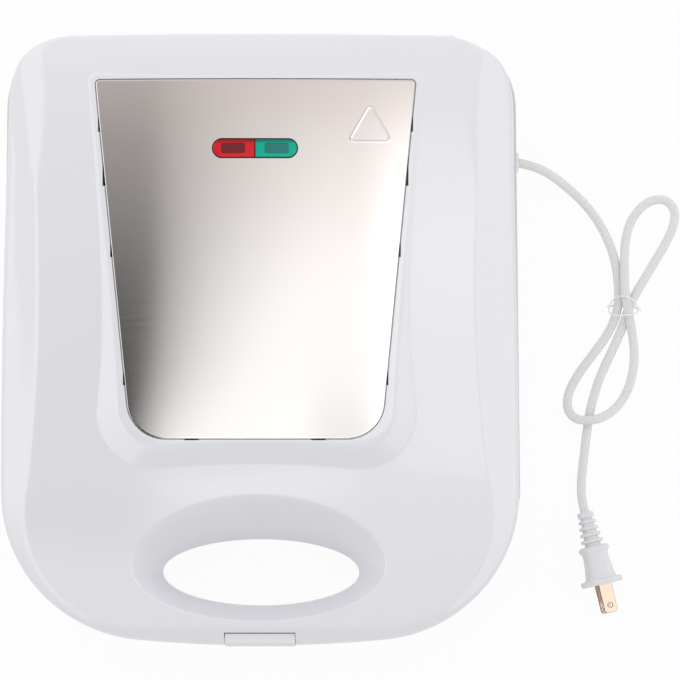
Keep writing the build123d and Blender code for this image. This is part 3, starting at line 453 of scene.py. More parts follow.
def makePlug(material):
    shell = Shell()
    shell.solid([shell.add(plugStart + plugAxis * along + plugAcross * x + plugUp * y
                           for x, y in roundedSection(*section)) for along, *section in plugSections])
    piece = shell.piece("plugMoulding", material)
    smoothShade(piece, 40)
    return piece


# the same vinyl, moulded: a little softer in its shine, with a faint orange-peel skin of 1.1 mm
plugVinyl, tree, shader = newMaterial("mouldedVinyl", "#e1e2e4", 0.42, ior=1.52)
addGrain(tree, shader, (900, 900, 900), bump=(0.2, 0.00008))
plugPiece = makePlug(plugVinyl)
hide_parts("plug_body")
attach(plugPiece, "base")
paintNodes(plugVinyl, "cord_gland")


# the lid: one moulding, worked out as a height over its plan, all in mm
lid = {
    "halfDepth": 175.5, "rearHalf": 145.0, "frontHalf": 149.0,
    "rearCorner": 42.0, "frontCorner": 85.0, "bow": 750.0,
    "crown": 925.0,
    "bandSlope": 38.0, "bandTilt": 3.5, "bandEdge": 70.0, "behind": 24.0,
    "edgeRound": 2.4, "frontRound": 1.0,
    "rim": 51.2, "skirt": 47.5, "skirtFront": 164.5, "wall": 2.5,
    # heights along the middle, each at a share of the half depth
    "profile": [(1.0826, 97.5), (0.8547, 101.3), (0.5698, 101.5), (0.2849, 100.0), (0.0, 97.0), (-0.2849, 92.0),
                (-0.4558, 88.0), (-0.6838, 80.0), (-0.8547, 72.8), (-1.0826, 61.0)],
    "panelProfile": [(1.0826, 100.0), (0.8205, 102.0), (0.5698, 102.2), (0.2849, 101.7), (0.0, 100.6),
                     (-0.3077, 98.8), (-0.5698, 96.0)],
    # half widths behind and in front, rear and front limits, corners behind and in front
    "panel": (88.8, 69.5, 144.2, -54.6, 2.2, 21.0),
    "collar": (95.0, 90.0, 151.0, -72.0, 5.0, 36.0),
    "collarFoot": 86.5, "collarCrest": 99.0, "collarTilt": 1.0,
    # half width and depth, middle and height of the hand hole, and of the funnel round it
    "hole": (56.5, 19.25, -133.6, 57.0), "flare": (85.0, 43.0, -127.0, 90.0),
    "seatGap": 0.7, "seatDepth": 0.62, "moat": 2.3, "moatWidth": 1.6,
    # how softly the surfaces run into each other
    "bandBlend": 0.9, "rearBlend": 8.0, "collarBlend": 1.2, "footBlend": 0.5, "funnelBlend": 0.9,
    "leanFrom": 54.0, "leanOver": 26.0, "leanRear": 5.2, "leanBow": 0.9, "leanLeft": 5.4, "leanRight": 2.2,
}


def cubicThrough(pairs):
    # natural cubic spline through the named points, as a function of arrays
    xs = np.array([p[0] for p in pairs]) * lid["halfDepth"]
    ys = np.array([p[1] for p in pairs])
    order = np.argsort(xs)
    xs = xs[order]
    ys = ys[order]
    n = len(xs)
    h = np.diff(xs)
    system = np.zeros((n, n))
    right = np.zeros(n)
    system[0, 0] = system[-1, -1] = 1
    for k in range(1, n - 1):
        system[k, k - 1:k + 2] = h[k - 1], 2 * (h[k - 1] + h[k]), h[k]
        right[k] = 6 * ((ys[k + 1] - ys[k]) / h[k] - (ys[k] - ys[k - 1]) / h[k - 1])
    bend = np.linalg.solve(system, right)

    def value(x):
        k = np.clip(np.searchsorted(xs, x) - 1, 0, n - 2)
        a = xs[k + 1] - x
        b = x - xs[k]
        return (bend[k] * a ** 3 + bend[k + 1] * b ** 3) / (6 * h[k]) + \
            (ys[k] / h[k] - bend[k] * h[k] / 6) * a + (ys[k + 1] / h[k] - bend[k + 1] * h[k] / 6) * b
    return value


def planLoop(inset=0.0, behind=0.0):
    # outline of the casing drawn in by inset, anticlockwise from the middle of the front, always as many points
    front = lid["frontHalf"] - inset
    back = lid["halfDepth"] + behind - inset
    bow = lid["bow"] - inset
    center = Vector((0, inset - lid["halfDepth"] + bow))
    base = Vector((front, center.y - math.sqrt(bow ** 2 - front ** 2)))
    along = (Vector((lid["rearHalf"] - inset, back)) - base).normalized()
    inward = Vector((-along.y, along.x))
    radius = lid["frontCorner"] - inset
    middle = base + inward * radius
    b = (middle - center).dot(along)
    root = math.sqrt(max(b * b - (middle - center).length_squared + (bow - radius) ** 2, 0))
    first = middle + along * min(-b - root, root - b, key=abs)
    small = lid["rearCorner"] - inset
    low = base + inward * small
    second = low + along * ((back - small - low.y) / along.y)
    touch = math.atan2(first.y - center.y, first.x - center.x)
    side = math.atan2(-inward.y, -inward.x)
    right = arcPoints(center, bow, -math.pi / 2, touch, 40) + arcPoints(first, radius, touch, side, 44)
    right += linePoints(first - inward * radius, second - inward * small, 70)
    right += arcPoints(second, small, side, math.pi / 2, 30) + linePoints((second.x, back), (0.0, back), 36)
    return np.array(right + [(0.0, back)] + [(-x, y) for x, y in right[:0:-1]])


def taperLoop(shape, grow=0.0, turns=(18, 8, 8, 18), straights=(44, 60, 44, 60)):
    # rounded trapezoid, anticlockwise from the middle of the front
    top, bottom, rear, front, topCorner, bottomCorner = shape
    lean = (top - bottom) / (rear - front)
    top += grow * (1 + lean)
    bottom += grow * (1 - lean)
    corners = [Vector(c) for c in ((bottom, front - grow), (top, rear + grow), (-top, rear + grow),
                                   (-bottom, front - grow))]
    arcs = []
    for k, radius in enumerate((bottomCorner, topCorner, topCorner, bottomCorner)):
        radius += grow
        here = corners[k]
        back = (corners[k - 1] - here).normalized()
        ahead = (corners[(k + 1) % 4] - here).normalized()
        half = back.angle(ahead) / 2
        center = here + (back + ahead).normalized() * radius / math.sin(half)
        start, end = [math.atan2(*(here + way * radius / math.tan(half) - center).yx) for way in (back, ahead)]
        arcs.append(arcPoints(center, radius, start, end + 2 * math.pi * (end < start), turns[k], True))
    return joinArcs(arcs, straights)


def ovalLoop(share, grow=0.0, count=160):
    # the hand hole's oval, widened towards the funnel's by a share, one for all points or one for each
    hx, hy, hc = lid["hole"][:3]
    fx, fy, fc = lid["flare"][:3]
    angle = np.arange(count) / count * 2 * math.pi
    x = (hx + (fx - hx) * share + grow) * np.cos(angle)
    y = hc + (fc - hc) * share + (hy + (fy - hy) * share + grow) * np.sin(angle)
    return np.stack([x, y], 1)


lowSpline = cubicThrough(lid["profile"])
panelSpline = cubicThrough(lid["panelProfile"])
outline = planLoop()
longOutline = planLoop(behind=lid["behind"])
collarOut = taperLoop(lid["collar"], 2.0)
panelIn = taperLoop(lid["panel"], 1.0)


def softMin(a, b, width):
    h = np.maximum(width - np.abs(a - b), 0) / width
    return np.minimum(a, b) - h * h * width / 4


def fade(low, high, value):
    t = np.clip((value - low) / (high - low), 0, 1)
    return t * t * (3 - 2 * t)


def panelTop(x, y):
    return panelSpline(y) - x * x / (2 * lid["crown"])

def underPanel(depth):
    return lambda x, y: panelTop(x, y) - depth


def flareTop(x, y):
    # height of the funnel: the share at which the growing oval passes through the point
    hx, hy, hc, hz = lid["hole"]
    fx, fy, fc, fz = lid["flare"]

    def within(s):
        return (x / (hx + (fx - hx) * s)) ** 2 + ((y - hc - (fc - hc) * s) / (hy + (fy - hy) * s)) ** 2 < 1
    return hz + (fz - hz) * crossing(within, np.full(np.shape(x), -0.5), np.full(np.shape(x), 4.0))


def bandTop(x, y):
    tilt = math.radians(lid["bandTilt"])
    rise = math.tan(math.radians(lid["bandSlope"]))
    return lid["bandEdge"] + (distanceTo(longOutline, x, y) * rise + y * math.sin(tilt)) / math.cos(tilt)


def lowTop(x, y):
    return lowSpline(y) - x * x / (2 * lid["crown"])


def collarTop(x, y):
    far = np.maximum(distanceTo(collarOut, x, y), -12)
    near = -distanceTo(panelIn, x, y)
    share = np.where(near <= 0, 1.0, far / np.maximum(far + near, 1e-6))
    share = np.where(far < -11, -9.0, share)
    return lid["collarFoot"] + (lid["collarCrest"] - lid["collarFoot"]) * share + \
        math.tan(math.radians(lid["collarTilt"])) * (y - lid["panel"][3])


def edgeRadius(y):
    return lid["edgeRound"] + lid["frontRound"] * fade(140, 168, -y)


def skinTop(x, y, withFlare=True, withEdge=True):
    top = softMin(lowTop(x, y), bandTop(x, y), lid["bandBlend"] + lid["rearBlend"] * fade(80, 145, y))
    island = softMin(panelTop(x, y), collarTop(x, y), lid["collarBlend"])
    top = -softMin(-top, -island, lid["footBlend"])
    if withFlare:
        top = softMin(top, flareTop(x, y), lid["funnelBlend"])
    if withEdge:
        r = edgeRadius(y)
        d = np.clip(distanceTo(outline, x, y), 0, r)
        top = top - (r - np.sqrt(np.maximum(r * r - (r - d) ** 2, 0)))
    return top


def leaned(x, y, z):
    # the walls lean in as they rise, most of all at the rear
    up = np.clip((z - lid["leanFrom"]) / lid["leanOver"], 0, 1)
    bow = lid["leanBow"] * (np.minimum(np.abs(x), 130) / 120) ** 2
    rear = (lid["leanRear"] + bow) * fade(150, 175.5, y)
    side = np.where(x < 0, lid["leanLeft"], lid["leanRight"]) * fade(-90, 155, y) * fade(116, 147, np.abs(x))
    return np.stack([x - np.sign(x) * side * up, y - rear * up, z], -1)


def skinNormal(x, y):
    # taken a little inside the outline, then turned outwards over the rounded edge
    h = 0.12
    r = edgeRadius(y)
    d = distanceTo(outline, x, y)
    gx, gy = slope(lambda px, py: distanceTo(outline, px, py), x * (1 - 1 / 150), y * (1 - 1 / 175), h)
    out = unit(np.stack([-gx, -gy, np.zeros_like(gx)], -1))
    move = np.maximum(0.6 - d, 0)
    x = x - out[:, 0] * move
    y = y - out[:, 1] * move
    right, left, rear, front = [leaned(x + a, y + b, skinTop(x + a, y + b, True, False))
                                for a, b in ((h, 0), (-h, 0), (0, h), (0, -h))]
    q = np.clip((r - d) / r, 0, 1)[:, None]
    return unit(unit(np.cross(right - left, rear - front)) * np.sqrt(1 - q * q) + out * q)


def smoothLoop(values, reach):
    return sum(np.roll(values, k) for k in range(-reach, reach + 1)) / (2 * reach + 1)


def flareCrease():
    # the share of the flare where it meets the skin, found for each direction
    def over(share):
        rise = (lid["flare"][3] - lid["hole"][3]) * share
        return lid["hole"][3] + rise > skinTop(*ovalLoop(share).T, False)
    return crossing(over, np.full(160, 0.1), np.full(160, 1.6))


def bandCrease(flareLoop):
    # how far in from the outline the sloped band ends, for each of its points, kept clear of the funnel
    insets = np.arange(3.0, 40.0, 0.5)
    loops = np.array([planLoop(d) for d in insets])
    x = loops[:, :, 0]
    y = loops[:, :, 1]
    under = bandTop(x, y) < lowTop(x, y)
    clear = distanceTo(flareLoop, x, y) < -6.5
    found = np.full(x.shape[1], 8.0)
    for k in range(x.shape[1]):
        inside = np.nonzero(under[:, k] & clear[:, k])[0]
        found[k] = np.clip(insets[inside[-1]], 8.0, 36.0) if len(inside) else 8.0
        blocked = np.nonzero(~clear[:, k])[0]
        if len(blocked):
            found[k] = min(found[k], max(insets[blocked[0]] - 0.5, 7.0))
    return np.minimum(smoothLoop(found, 4), found + 1.5)


def insetLoop(inset):
    # outline drawn in by another amount at each point
    grid = np.arange(0, 44)
    loops = np.array([planLoop(d) for d in grid])
    k = np.clip(np.floor(inset).astype(int), 0, 42)
    t = (inset - k)[:, None]
    column = np.arange(len(inset))
    return loops[k, column] * (1 - t) + loops[k + 1, column] * t


def makeLidBlank():
    shell = Shell()
    low = lid["skirt"]
    wall = lid["wall"]
    # outer wall, rounded edge and sloped band
    edge = planLoop()
    creaseShare = flareCrease()
    bandInset = bandCrease(ovalLoop(creaseShare))
    r = lid["edgeRound"] + lid["frontRound"]
    insets = [np.full(len(edge), d) for d in (0.08 * r, 0.2 * r, 0.4 * r, 0.65 * r, r, r + 0.6)]
    insets += [r + 0.6 + (bandInset - r - 2.4) * share for share in (0.33, 0.66)]
    insets += [bandInset + d for d in (-1.6, -0.8, -0.4, -0.15, 0.15, 0.4, 0.8, 1.6, 3.0)]
    wallRings = [shell.ring(edge, height) for height in (low, low + 2.5, skinTop)]
    skinRings = [shell.ring(insetLoop(inset), skinTop) for inset in insets]
    outerRing = shell.bridge([shell.bridge(wallRings)] + skinRings, 1)
    # hand hole and its funnel, from the skin down
    loops = [ovalLoop(creaseShare, grow) for grow in (3.6, 2.2, 1.3, 0.8, 0.45, 0.2)]
    loops += [ovalLoop(creaseShare * share)
              for share in (1.0, 0.99, 0.98, 0.96, 0.93, 0.88, 0.8, 0.68, 0.54, 0.4, 0.26, 0.14, 0.06, 0.02)]
    funnel = [shell.ring(loop, skinTop) for loop in loops] + [shell.ring(ovalLoop(0), lid["hole"][3] - 0.8)]
    bottom = shell.ring(ovalLoop(0), low)
    shell.bridge([shell.bridge(funnel, 1), bottom])
    # seat of the steel inlay, in a narrow moat
    seatLoop = taperLoop(lid["panel"], lid["seatGap"])
    moatLoop = taperLoop(lid["panel"], lid["seatGap"] - lid["moatWidth"])
    moatFloor = underPanel(lid["moat"])
    seat = underPanel(lid["seatDepth"])
    seatTop = shell.ring(seatLoop, skinTop)
    seatRings = [shell.ring(seatLoop, moatFloor), shell.ring(moatLoop, moatFloor), shell.ring(moatLoop, seat)]
    shell.fill(shell.bridge([seatTop] + seatRings), [], gridPoints(9), seat)

    # collar round it, with close rings along its foot
    def between(share):
        return collarOut + (panelIn - collarOut) * share[:, None]

    def over(share):
        place = between(share).T
        return collarTop(*place) > np.minimum(lowTop(*place), bandTop(*place))
    reach = np.linalg.norm(collarOut - panelIn, axis=1)
    foot = crossing(over, np.full(len(reach), -0.1), np.ones(len(reach)))
    room = (1 - foot) * reach
    offsets = [-2.0, -0.9, -0.4, -0.15, 0.0]
    offsets += [np.minimum(a, room * b) for a, b in ((0.15, 0.14), (0.4, 0.28), (0.9, 0.4))]
    loops = [between(foot + d / reach) for d in offsets + [room * 0.55, room * 0.85]]
    collar = [shell.ring(loop, skinTop) for loop in loops + [panelIn, taperLoop(lid["panel"], 0.85)]]
    shell.bridge(collar + [seatTop], 1)
    # the open skin between
    shell.fill(outerRing, [funnel[0], collar[0]], gridPoints(4.2), skinTop, 1)

    # inner skin
    def innerTop(x, y):
        covered = np.minimum(skinTop(x, y, False, False), seat(x, y))
        return np.maximum(covered - wall * 1.12, low + 3)
    innerLoop = planLoop(wall)
    innerEdge = shell.ring(innerLoop, innerTop(*innerLoop.T) - 1.0)
    shell.bridge([innerEdge, shell.ring(innerLoop, low), wallRings[0]])
    tube = [shell.ring(ovalLoop(0, wall), height) for height in (low, lid["hole"][3])]
    tubeTop = shell.ring(ovalLoop(creaseShare * 0.9, wall * 1.6), innerTop)
    shell.bridge([bottom] + tube + [tubeTop])
    shell.fill(innerEdge, [tubeTop], gridPoints(8), innerTop, flip=True)
    return shell


# each block for a cut or a join is given by the loops at its two ends

def upright(loop, z0, z1):
    return [[(x, y, z) for x, y in loop] for z in (z0, z1)]


def alongX(x0, x1, loop):
    return [[(x, y, z) for y, z in loop] for x in (x0, x1)]


def box(x0, x1, y0, y1, z0, z1):
    return upright([(x0, y0), (x1, y0), (x1, y1), (x0, y1)], z0, z1)


def rod(x0, x1, y, z, radius):
    return alongX(x0, x1, arcPoints((y, z), radius, 0, 2 * math.pi, 40))


def makeBlock(name, blocks):
    shell = Shell()
    for loops in blocks:
        shell.solid([shell.add(loop) for loop in loops])
    piece = shell.piece(name)
    cleanMesh(piece.data)
    return piece


def applyBooleans(piece, steps):
    # joins and cuts in turn, then keeps the result as the piece's own mesh
    for kind, block in steps:
        modifier = piece.modifiers.new(kind, "BOOLEAN")
        modifier.operation = kind
        modifier.object = block
        modifier.solver = "MANIFOLD"
    bpy.context.view_layer.update()
    graph = bpy.context.evaluated_depsgraph_get()
    result = bpy.data.meshes.new_from_object(piece.evaluated_get(graph))
    piece.modifiers.clear()
    piece.data = result
    for _, block in steps:
        bpy.data.objects.remove(block)


lens = {
    "center": 106.1, "length": 46.6, "width": 10.1, "split": 0.12,
    "window": (5.6, 18.5, 5.2), "windowCorner": 0.9, "well": 0.35,
    "foot": -1.2, "top": 0.75,
    # how far in from the side, and how high over the inlay, down the rounded rim
    "rim": [(0.0, 0.0), (0.08, 0.25), (0.25, 0.45), (0.5, 0.62), (0.9, 0.72), (1.4, 0.75)],
}


def pillLoop(grow, count=20):
    r = lens["width"] / 2 + grow
    half = (lens["length"] - lens["width"]) / 2
    return np.array(arcPoints((half, lens["center"]), r, -math.pi / 2, math.pi / 2, count) +
                    arcPoints((-half, lens["center"]), r, math.pi / 2, 3 * math.pi / 2, count))


hinge = {
    "y": 170.5, "z": 51.5, "knuckle": 5.0, "ears": 85.0, "earWidth": 30.0, "play": 0.5, "lug": 10.0,
    "bore": 2.05, "notch": 60.0, "gutter": (6, 18),
}
catch = {
    "half": 20.4, "back": -166.6, "cheek": 2.5, "pivot": (-170.4, 60.6), "bore": 1.3,
    "roof": [(-174.6, 56.5), (-171.5, 61.5), (-166, 63.5)], "roofEnd": 64.0,
}
slots = {
    # share of the inlay's depth and length of those at its sides, and the places of those in front
    "side": [(0.124, 7.0), (0.255, 15.0), (0.475, 6.5), (0.833, 6.5)],
    "front": [-35.5, 35.0],
    "depth": (92, 110),
}


def slotBlocks():
    top, bottom, rear, front = lid["panel"][:4]
    blocks = [box(x - 4, x + 4, front - 1.0, front + 1.2, *slots["depth"]) for x in slots["front"]]
    for share, length in slots["side"]:
        y = rear + share * (front - rear)
        half = length / 2 + 0.5
        edge = top + (bottom - top) * share - 0.1
        blocks += [box(x - 1.1, x + 1.1, y - half, y + half, *slots["depth"]) for x in (-edge, edge)]
    return blocks


def makeLid(material):
    # the second slot only marks the outer skin
    piece = makeLidBlank().piece("lidMoulding", material, material)
    y, z, knuckle = hinge["y"], hinge["z"], hinge["knuckle"]
    half = hinge["lug"] / 2
    clear = hinge["earWidth"] / 2 + hinge["play"]
    ears = (-hinge["ears"], hinge["ears"])
    lugs = [ear + way * (clear + half) for ear in ears for way in (-1, 1)]
    notches = [(ear - clear, ear + clear) for ear in ears] + [hinge["gutter"]]
    reach = catch["half"] + catch["cheek"]
    behind = catch["back"] + catch["cheek"]
    roof = catch["roof"] + [(behind, catch["roofEnd"])]
    foot = lid["rim"] + 0.01
    bores = [rod(ear - clear - 2 * half - 1, ear + clear + 2 * half + 1, y, z, hinge["bore"]) for ear in ears]
    steps = [
        ("UNION", "lugBlock", [box(x - half, x + half, y - knuckle, y + 4.9, z, hinge["notch"] + 4) for x in lugs]),
        ("UNION", "knuckleBlock", [rod(x - half, x + half, y, z, knuckle) for x in lugs]),
        ("UNION", "pocketBlock", [alongX(-reach, reach, [(roof[0][0], foot)] + roof + [(behind, foot)])]),
        ("DIFFERENCE", "trimBlock", [box(-200, 200, -200, lid["skirtFront"], 20, lid["rim"])] +
         [box(x0, x1, 165, 200, 20, hinge["notch"]) for x0, x1 in notches]),
        ("DIFFERENCE", "pocketCut", [box(-catch["half"], catch["half"], -200, catch["back"], 40, 90)]),
        ("DIFFERENCE", "boreCut", bores + [rod(-reach - 1, reach + 1, *catch["pivot"], catch["bore"])]),
        ("DIFFERENCE", "slotCut", slotBlocks() + [upright(pillLoop(0.6), 80, 110)]),
    ]
    applyBooleans(piece, [(kind, makeBlock(name, blocks)) for kind, name, blocks in steps])
    smoothShade(piece, 32)
    mesh = piece.data
    tags, totals = np.zeros((2, len(mesh.polygons)), int)
    mesh.polygons.foreach_get("material_index", tags)
    mesh.polygons.foreach_get("loop_total", totals)
    outer = np.repeat(tags, totals) == 1
    corner, normals = cornerNormals(mesh)
    places = np.zeros(len(mesh.vertices) * 3)
    mesh.vertices.foreach_get("co", places)
    places = places.reshape(-1, 3) / mm
    used = np.unique(corner[outer])
    smooth = np.zeros((len(places), 3))
    smooth[used] = skinNormal(places[used, 0], places[used, 1])
    normals[outer] = smooth[corner[outer]]
    mesh.polygons.foreach_set("material_index", np.zeros(len(tags), int))
    mesh.vertices.foreach_set("co", (leaned(*places.T) * mm).ravel())
    mesh.normals_split_custom_set([tuple(n) for n in normals])
    while len(mesh.materials) > 1:
        mesh.materials.pop()
    return piece


# white ABS, injection moulded in a polished tool: clean cool white with a soft clear shine and faint waves of 8 mm
lidWhite, tree, shader = newMaterial("mouldedWhiteABS", "#eaeaef", 0.12, ior=1.53)
addGrain(tree, shader, (130, 130, 130), 1.0, bump=(0.1, 0.0001))

lidPiece = makeLid(lidWhite)
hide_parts("lid_shell")
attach(lidPiece, "lid")
print("lid made:", len(lidPiece.data.polygons), "faces")

paintNodes(lidWhite, "base_shell", "bottom_cover", "base_deck", "lid_liner")


# the plug's blades, in mm
blade = {
    "thick": 1.5, "length": 17.0, "inside": 6.0, "apart": 6.35, "hole": 1.55, "holeBack": 4.2,
    "tipCorner": 1.8, "face": 44.0, "bevel": 0.18,
}


def makeBlade(name, width, side, material, edgeMaterial):
    # in the plug's own frame: across, along and up from the face, then turned into place
    def bladeLoop(inset):
        w = width / 2 - inset
        r = blade["tipCorner"] - inset
        start = inset - blade["inside"]
        corner = blade["length"] - inset - r
        return np.array([(-w, start), (w, start)] + arcPoints((w - r, corner), r, 0, math.pi / 2, 6, True) +
                        arcPoints((r - w, corner), r, math.pi / 2, math.pi, 6, True))

    def eyeLoop(grow):
        middle = (0.0, blade["length"] - blade["holeBack"])
        return np.array(arcPoints(middle, blade["hole"] + grow, 0, 2 * math.pi, 28))
    shell = Shell()
    half = blade["thick"] / 2
    bevel = blade["bevel"]
    levels = ((bevel, -half), (0, bevel - half), (0, half - bevel), (bevel, half))
    rings = [shell.ring(bladeLoop(inset), z) for inset, z in levels]
    eyes = [shell.ring(eyeLoop(grow), z) for grow, z in levels]
    shell.bridge(rings, 1)
    shell.bridge(eyes[::-1], 1)
    shell.fill(rings[3], [eyes[3]], [], None)
    shell.fill(rings[0], [eyes[0]], [], None, flip=True)
    origin = plugStart + plugAxis * blade["face"] + plugUp * (side * blade["apart"])
    shell.points = [origin + plugAcross * x + plugAxis * y + plugUp * z for x, y, z in shell.points]
    piece = shell.piece(name, material, edgeMaterial)
    cleanMesh(piece.data)
    smoothShade(piece, 30)
    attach(piece, "base")
    return piece


# plated brass strip, stamped: pale warm metal, bright with fine rolling lines, 1 mm wide and 5 mm long
platedBrass, tree, shader = newMaterial("platedBrass", "#d6c4b2", 0.28, metallic=1.0)
addGrain(tree, shader, (900, 200, 900), rough=(0.24, 0.36))
# its stamped edges: sheared and tarnished, so dull and dark
shearedBrass = newMaterial("shearedBrassEdge", "#5c4c3c", 0.45, metallic=1.0)[0]
blades = [makeBlade("wideBlade", 7.9, -1, platedBrass, shearedBrass),
          makeBlade("narrowBlade", 6.4, 1, platedBrass, shearedBrass)]
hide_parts("plug_blades")
print("plug made")

# stainless steel, brushed across: level lines 0.3 mm apart, the finest that show, which stretch each reflection
# along Y
brushed, tree, shader = newMaterial("brushedStainless", "#cccac9", 0.13, metallic=1.0, Anisotropic=0.8)
addGrain(tree, shader, (25, 3500, 25), 4.0, 0.7, rough=(0.12, 0.16), bump=(0.25, 0.00002))
tangent = addNode(tree, "ShaderNodeCombineXYZ", {"Y": 1.0})
tree.links.new(tangent.outputs["Vector"], shader.inputs["Tangent"])

inlay = {
    "thickness": 0.6, "roll": 0.7, "drop": 0.12, "holeGap": 0.55, "holeRound": 0.3,
    "mark": (63.6, 116.9), "markSide": 24.0, "markCorner": 1.8, "ridge": 0.8, "relief": 0.13,
}


def markLoop(grow=0.0):
    # rounded triangle, anticlockwise
    reach = inlay["markSide"] / math.sqrt(3) - 2 * inlay["markCorner"]
    centers = arcPoints(inlay["mark"], reach, math.radians(-150), math.radians(210), 3)
    arcs = [arcPoints(center, inlay["markCorner"] + grow, math.radians(start), math.radians(start + 120), 8, True)
            for center, start in zip(centers, (-210, -90, 30))]
    return joinArcs(arcs, (28, 28, 28))


def inlayTop(x, y):
    d = distanceTo(taperLoop(lid["panel"]), x, y)
    drop = inlay["drop"] * (1 - np.clip(d / inlay["roll"], 0, 1)) ** 2
    off = distanceTo(markLoop(), x, y) / inlay["ridge"]
    return panelTop(x, y) - drop + inlay["relief"] * np.maximum(1 - off * off, 0) ** 2


def makeInlay(material):
    shell = Shell()
    underside = underPanel(inlay["thickness"])
    edges = [taperLoop(lid["panel"], -inset) for inset in (0, 0.25, 0.5, 0.8, 1.1, 1.5, 2.2)]
    under = shell.ring(edges[0], underside)
    rings = [shell.ring(edge, inlayTop) for edge in edges]
    shell.bridge([under, rings[0]])
    outer = shell.bridge(rings, 1)
    hole = pillLoop(inlay["holeGap"])
    holeLow = shell.ring(hole, underside)
    holeRing = shell.ring(hole, inlayTop(*hole.T) - 0.25)
    softRing = shell.ring(pillLoop(inlay["holeGap"] + inlay["holeRound"]), inlayTop)
    shell.bridge([holeRing, holeLow])
    shell.bridge([softRing, holeRing], 1)
    marks = [shell.ring(markLoop(grow), inlayTop) for grow in (0.9, 0.6, 0.3, 0.12, -0.12, -0.3, -0.6, -0.9)]
    shell.fill(shell.bridge(marks, 1), [], gridPoints(3.0), inlayTop, 1)
    shell.fill(outer, [softRing, marks[0]], gridPoints(3.5), inlayTop, 1)
    shell.fill(under, [holeLow], gridPoints(8), underside, flip=True)
    piece = shell.piece("steelInlay", material)
    smoothShade(piece, 30)
    corner, normals = cornerNormals(piece.data)
    face = np.repeat(shell.tags, [len(f) for f in shell.faces]) == 1
    x, y, _ = np.array(shell.points).T
    gx, gy = slope(inlayTop, x, y, 0.06)
    normals[face] = unit(np.stack([-gx, -gy, np.ones_like(gx)], -1))[corner[face]]
    piece.data.normals_split_custom_set([tuple(n) for n in normals])
    return piece


inlayPiece = makeInlay(brushed)
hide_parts("steel_panel")
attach(inlayPiece, "lid")
print("inlay made:", len(inlayPiece.data.polygons), "faces")

# the pilot light

def mirrored(loop, side):
    # kept anticlockwise on either side
    return np.array([(x * side, y) for x, y in (loop if side > 0 else loop[::-1])])


def halfPill(side, inset=0.0):
    # the rounded half of the pill on one side
    r = lens["width"] / 2 - inset
    half = (lens["length"] - lens["width"]) / 2
    flat = lens["split"] + inset
    high, low = lens["center"] + r, lens["center"] - r
    loop = arcPoints((half, lens["center"]), r, -math.pi / 2, math.pi / 2, 22)
    for a, b in (((half, high), (flat, high)), ((flat, high), (flat, low)), ((flat, low), (half, low))):
        loop += linePoints(a, b, 10)
    return mirrored(loop, side)


def windowLoop(side, grow=0.0):
    # rectangle with small corners
    x0, x1, height = lens["window"]
    corner = lens["windowCorner"]
    x0, x1, h = x0 + corner, x1 - corner, height / 2 - corner
    loop = []
    for k, (cx, cy) in enumerate(((x1, -h), (x1, h), (x0, h), (x0, -h))):
        start = (k - 1) * math.pi / 2
        loop += arcPoints((cx, lens["center"] + cy), corner + grow, start, start + math.pi / 2, 5, True)
    return mirrored(loop, side)


def makeLens(name, side, material, windowMaterial):
    shell = Shell()
    under = shell.ring(halfPill(side), underPanel(-lens["foot"]))
    rings = [under] + [shell.ring(halfPill(side, inset), underPanel(-rise)) for inset, rise in lens["rim"]]
    rimRing = shell.ring(windowLoop(side, 0.25), underPanel(-lens["top"]))
    wellRing = shell.ring(windowLoop(side), underPanel(lens["well"] - lens["top"]))
    shell.bridge([rimRing, wellRing])
    shell.fill(shell.bridge(rings), [rimRing], [], panelTop)
    shell.fill(wellRing, [], [], panelTop, 1)
    shell.fill(under, [], [], panelTop, flip=True)
    piece = shell.piece(name, material, windowMaterial)
    cleanMesh(piece.data, 1e-6)
    smoothShade(piece, 40)
    return piece


# each lens: node, name, side, the dark colour of its painted shade, its own colour, and the window's colour with a
# painted reflection
for node, name, side, edge, middle, face in (("red_lens", "redLens", -1, "#4a0a10", "#d8202a", "#761d22"),
                                             ("green_lens", "greenLens", 1, "#0a3a34", "#08ae96", "#2b7d76")):
    gloss = {"ior": 1.49, "Specular IOR Level": 0.2}
    # acrylic, moulded clear and tinted: deep colour and a wet shine, with painted shade that makes it darker where
    # the rim turns away and towards its rear
    acrylic, tree, shader = newMaterial("tintedAcrylicPaintedShade_" + name, middle, 0.05, **gloss)
    # painted shade: the colour runs to the dark one where the rim turns from view and towards the rear
    facing = addNode(tree, "ShaderNodeLayerWeight", {"Blend": 0.45})
    place = addNode(tree, "ShaderNodeSeparateXYZ", None, {"Vector": objectCoords(tree, (1000, 1000, 1000))})
    paintedRearShade = addNode(tree, "ShaderNodeMapRange", {"From Min": 108.4, "From Max": 111.0, "To Max": 0.8},
                    {"Value": place.outputs["Y"]})
    paintedShade = addNode(tree, "ShaderNodeMath", None, {0: facing.outputs["Facing"], 1: paintedRearShade.outputs["Result"]},
                     operation="MAXIMUM")
    mix = addNode(tree, "ShaderNodeMix", {"A": linear(middle), "B": linear(edge)}, {"Factor": paintedShade.outputs[0]},
                  data_type="RGBA")
    tree.links.new(mix.outputs["Result"], shader.inputs["Base Color"])
    # the flat window over the lamp, moulded with ribs about a millimetre apart: its colour painted greyer and
    # darker, a painted reflection of the room
    ribbed, tree, shader = newMaterial("ribbedAcrylicPaintedReflection_" + name, face, 0.12, **gloss)
    ribs = addNode(tree, "ShaderNodeTexWave", {"Scale": 1.0, "Distortion": 0.0},
                   {"Vector": objectCoords(tree, (300, 300, 300))}, bands_direction="Y")
    useGrain(tree, shader, ribs.outputs["Fac"], bump=(0.4, 0.0002))
    piece = makeLens(name, side, acrylic, ribbed)
    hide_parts(node)
    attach(piece, "lid")
print("pilot light made")


# the other finishes

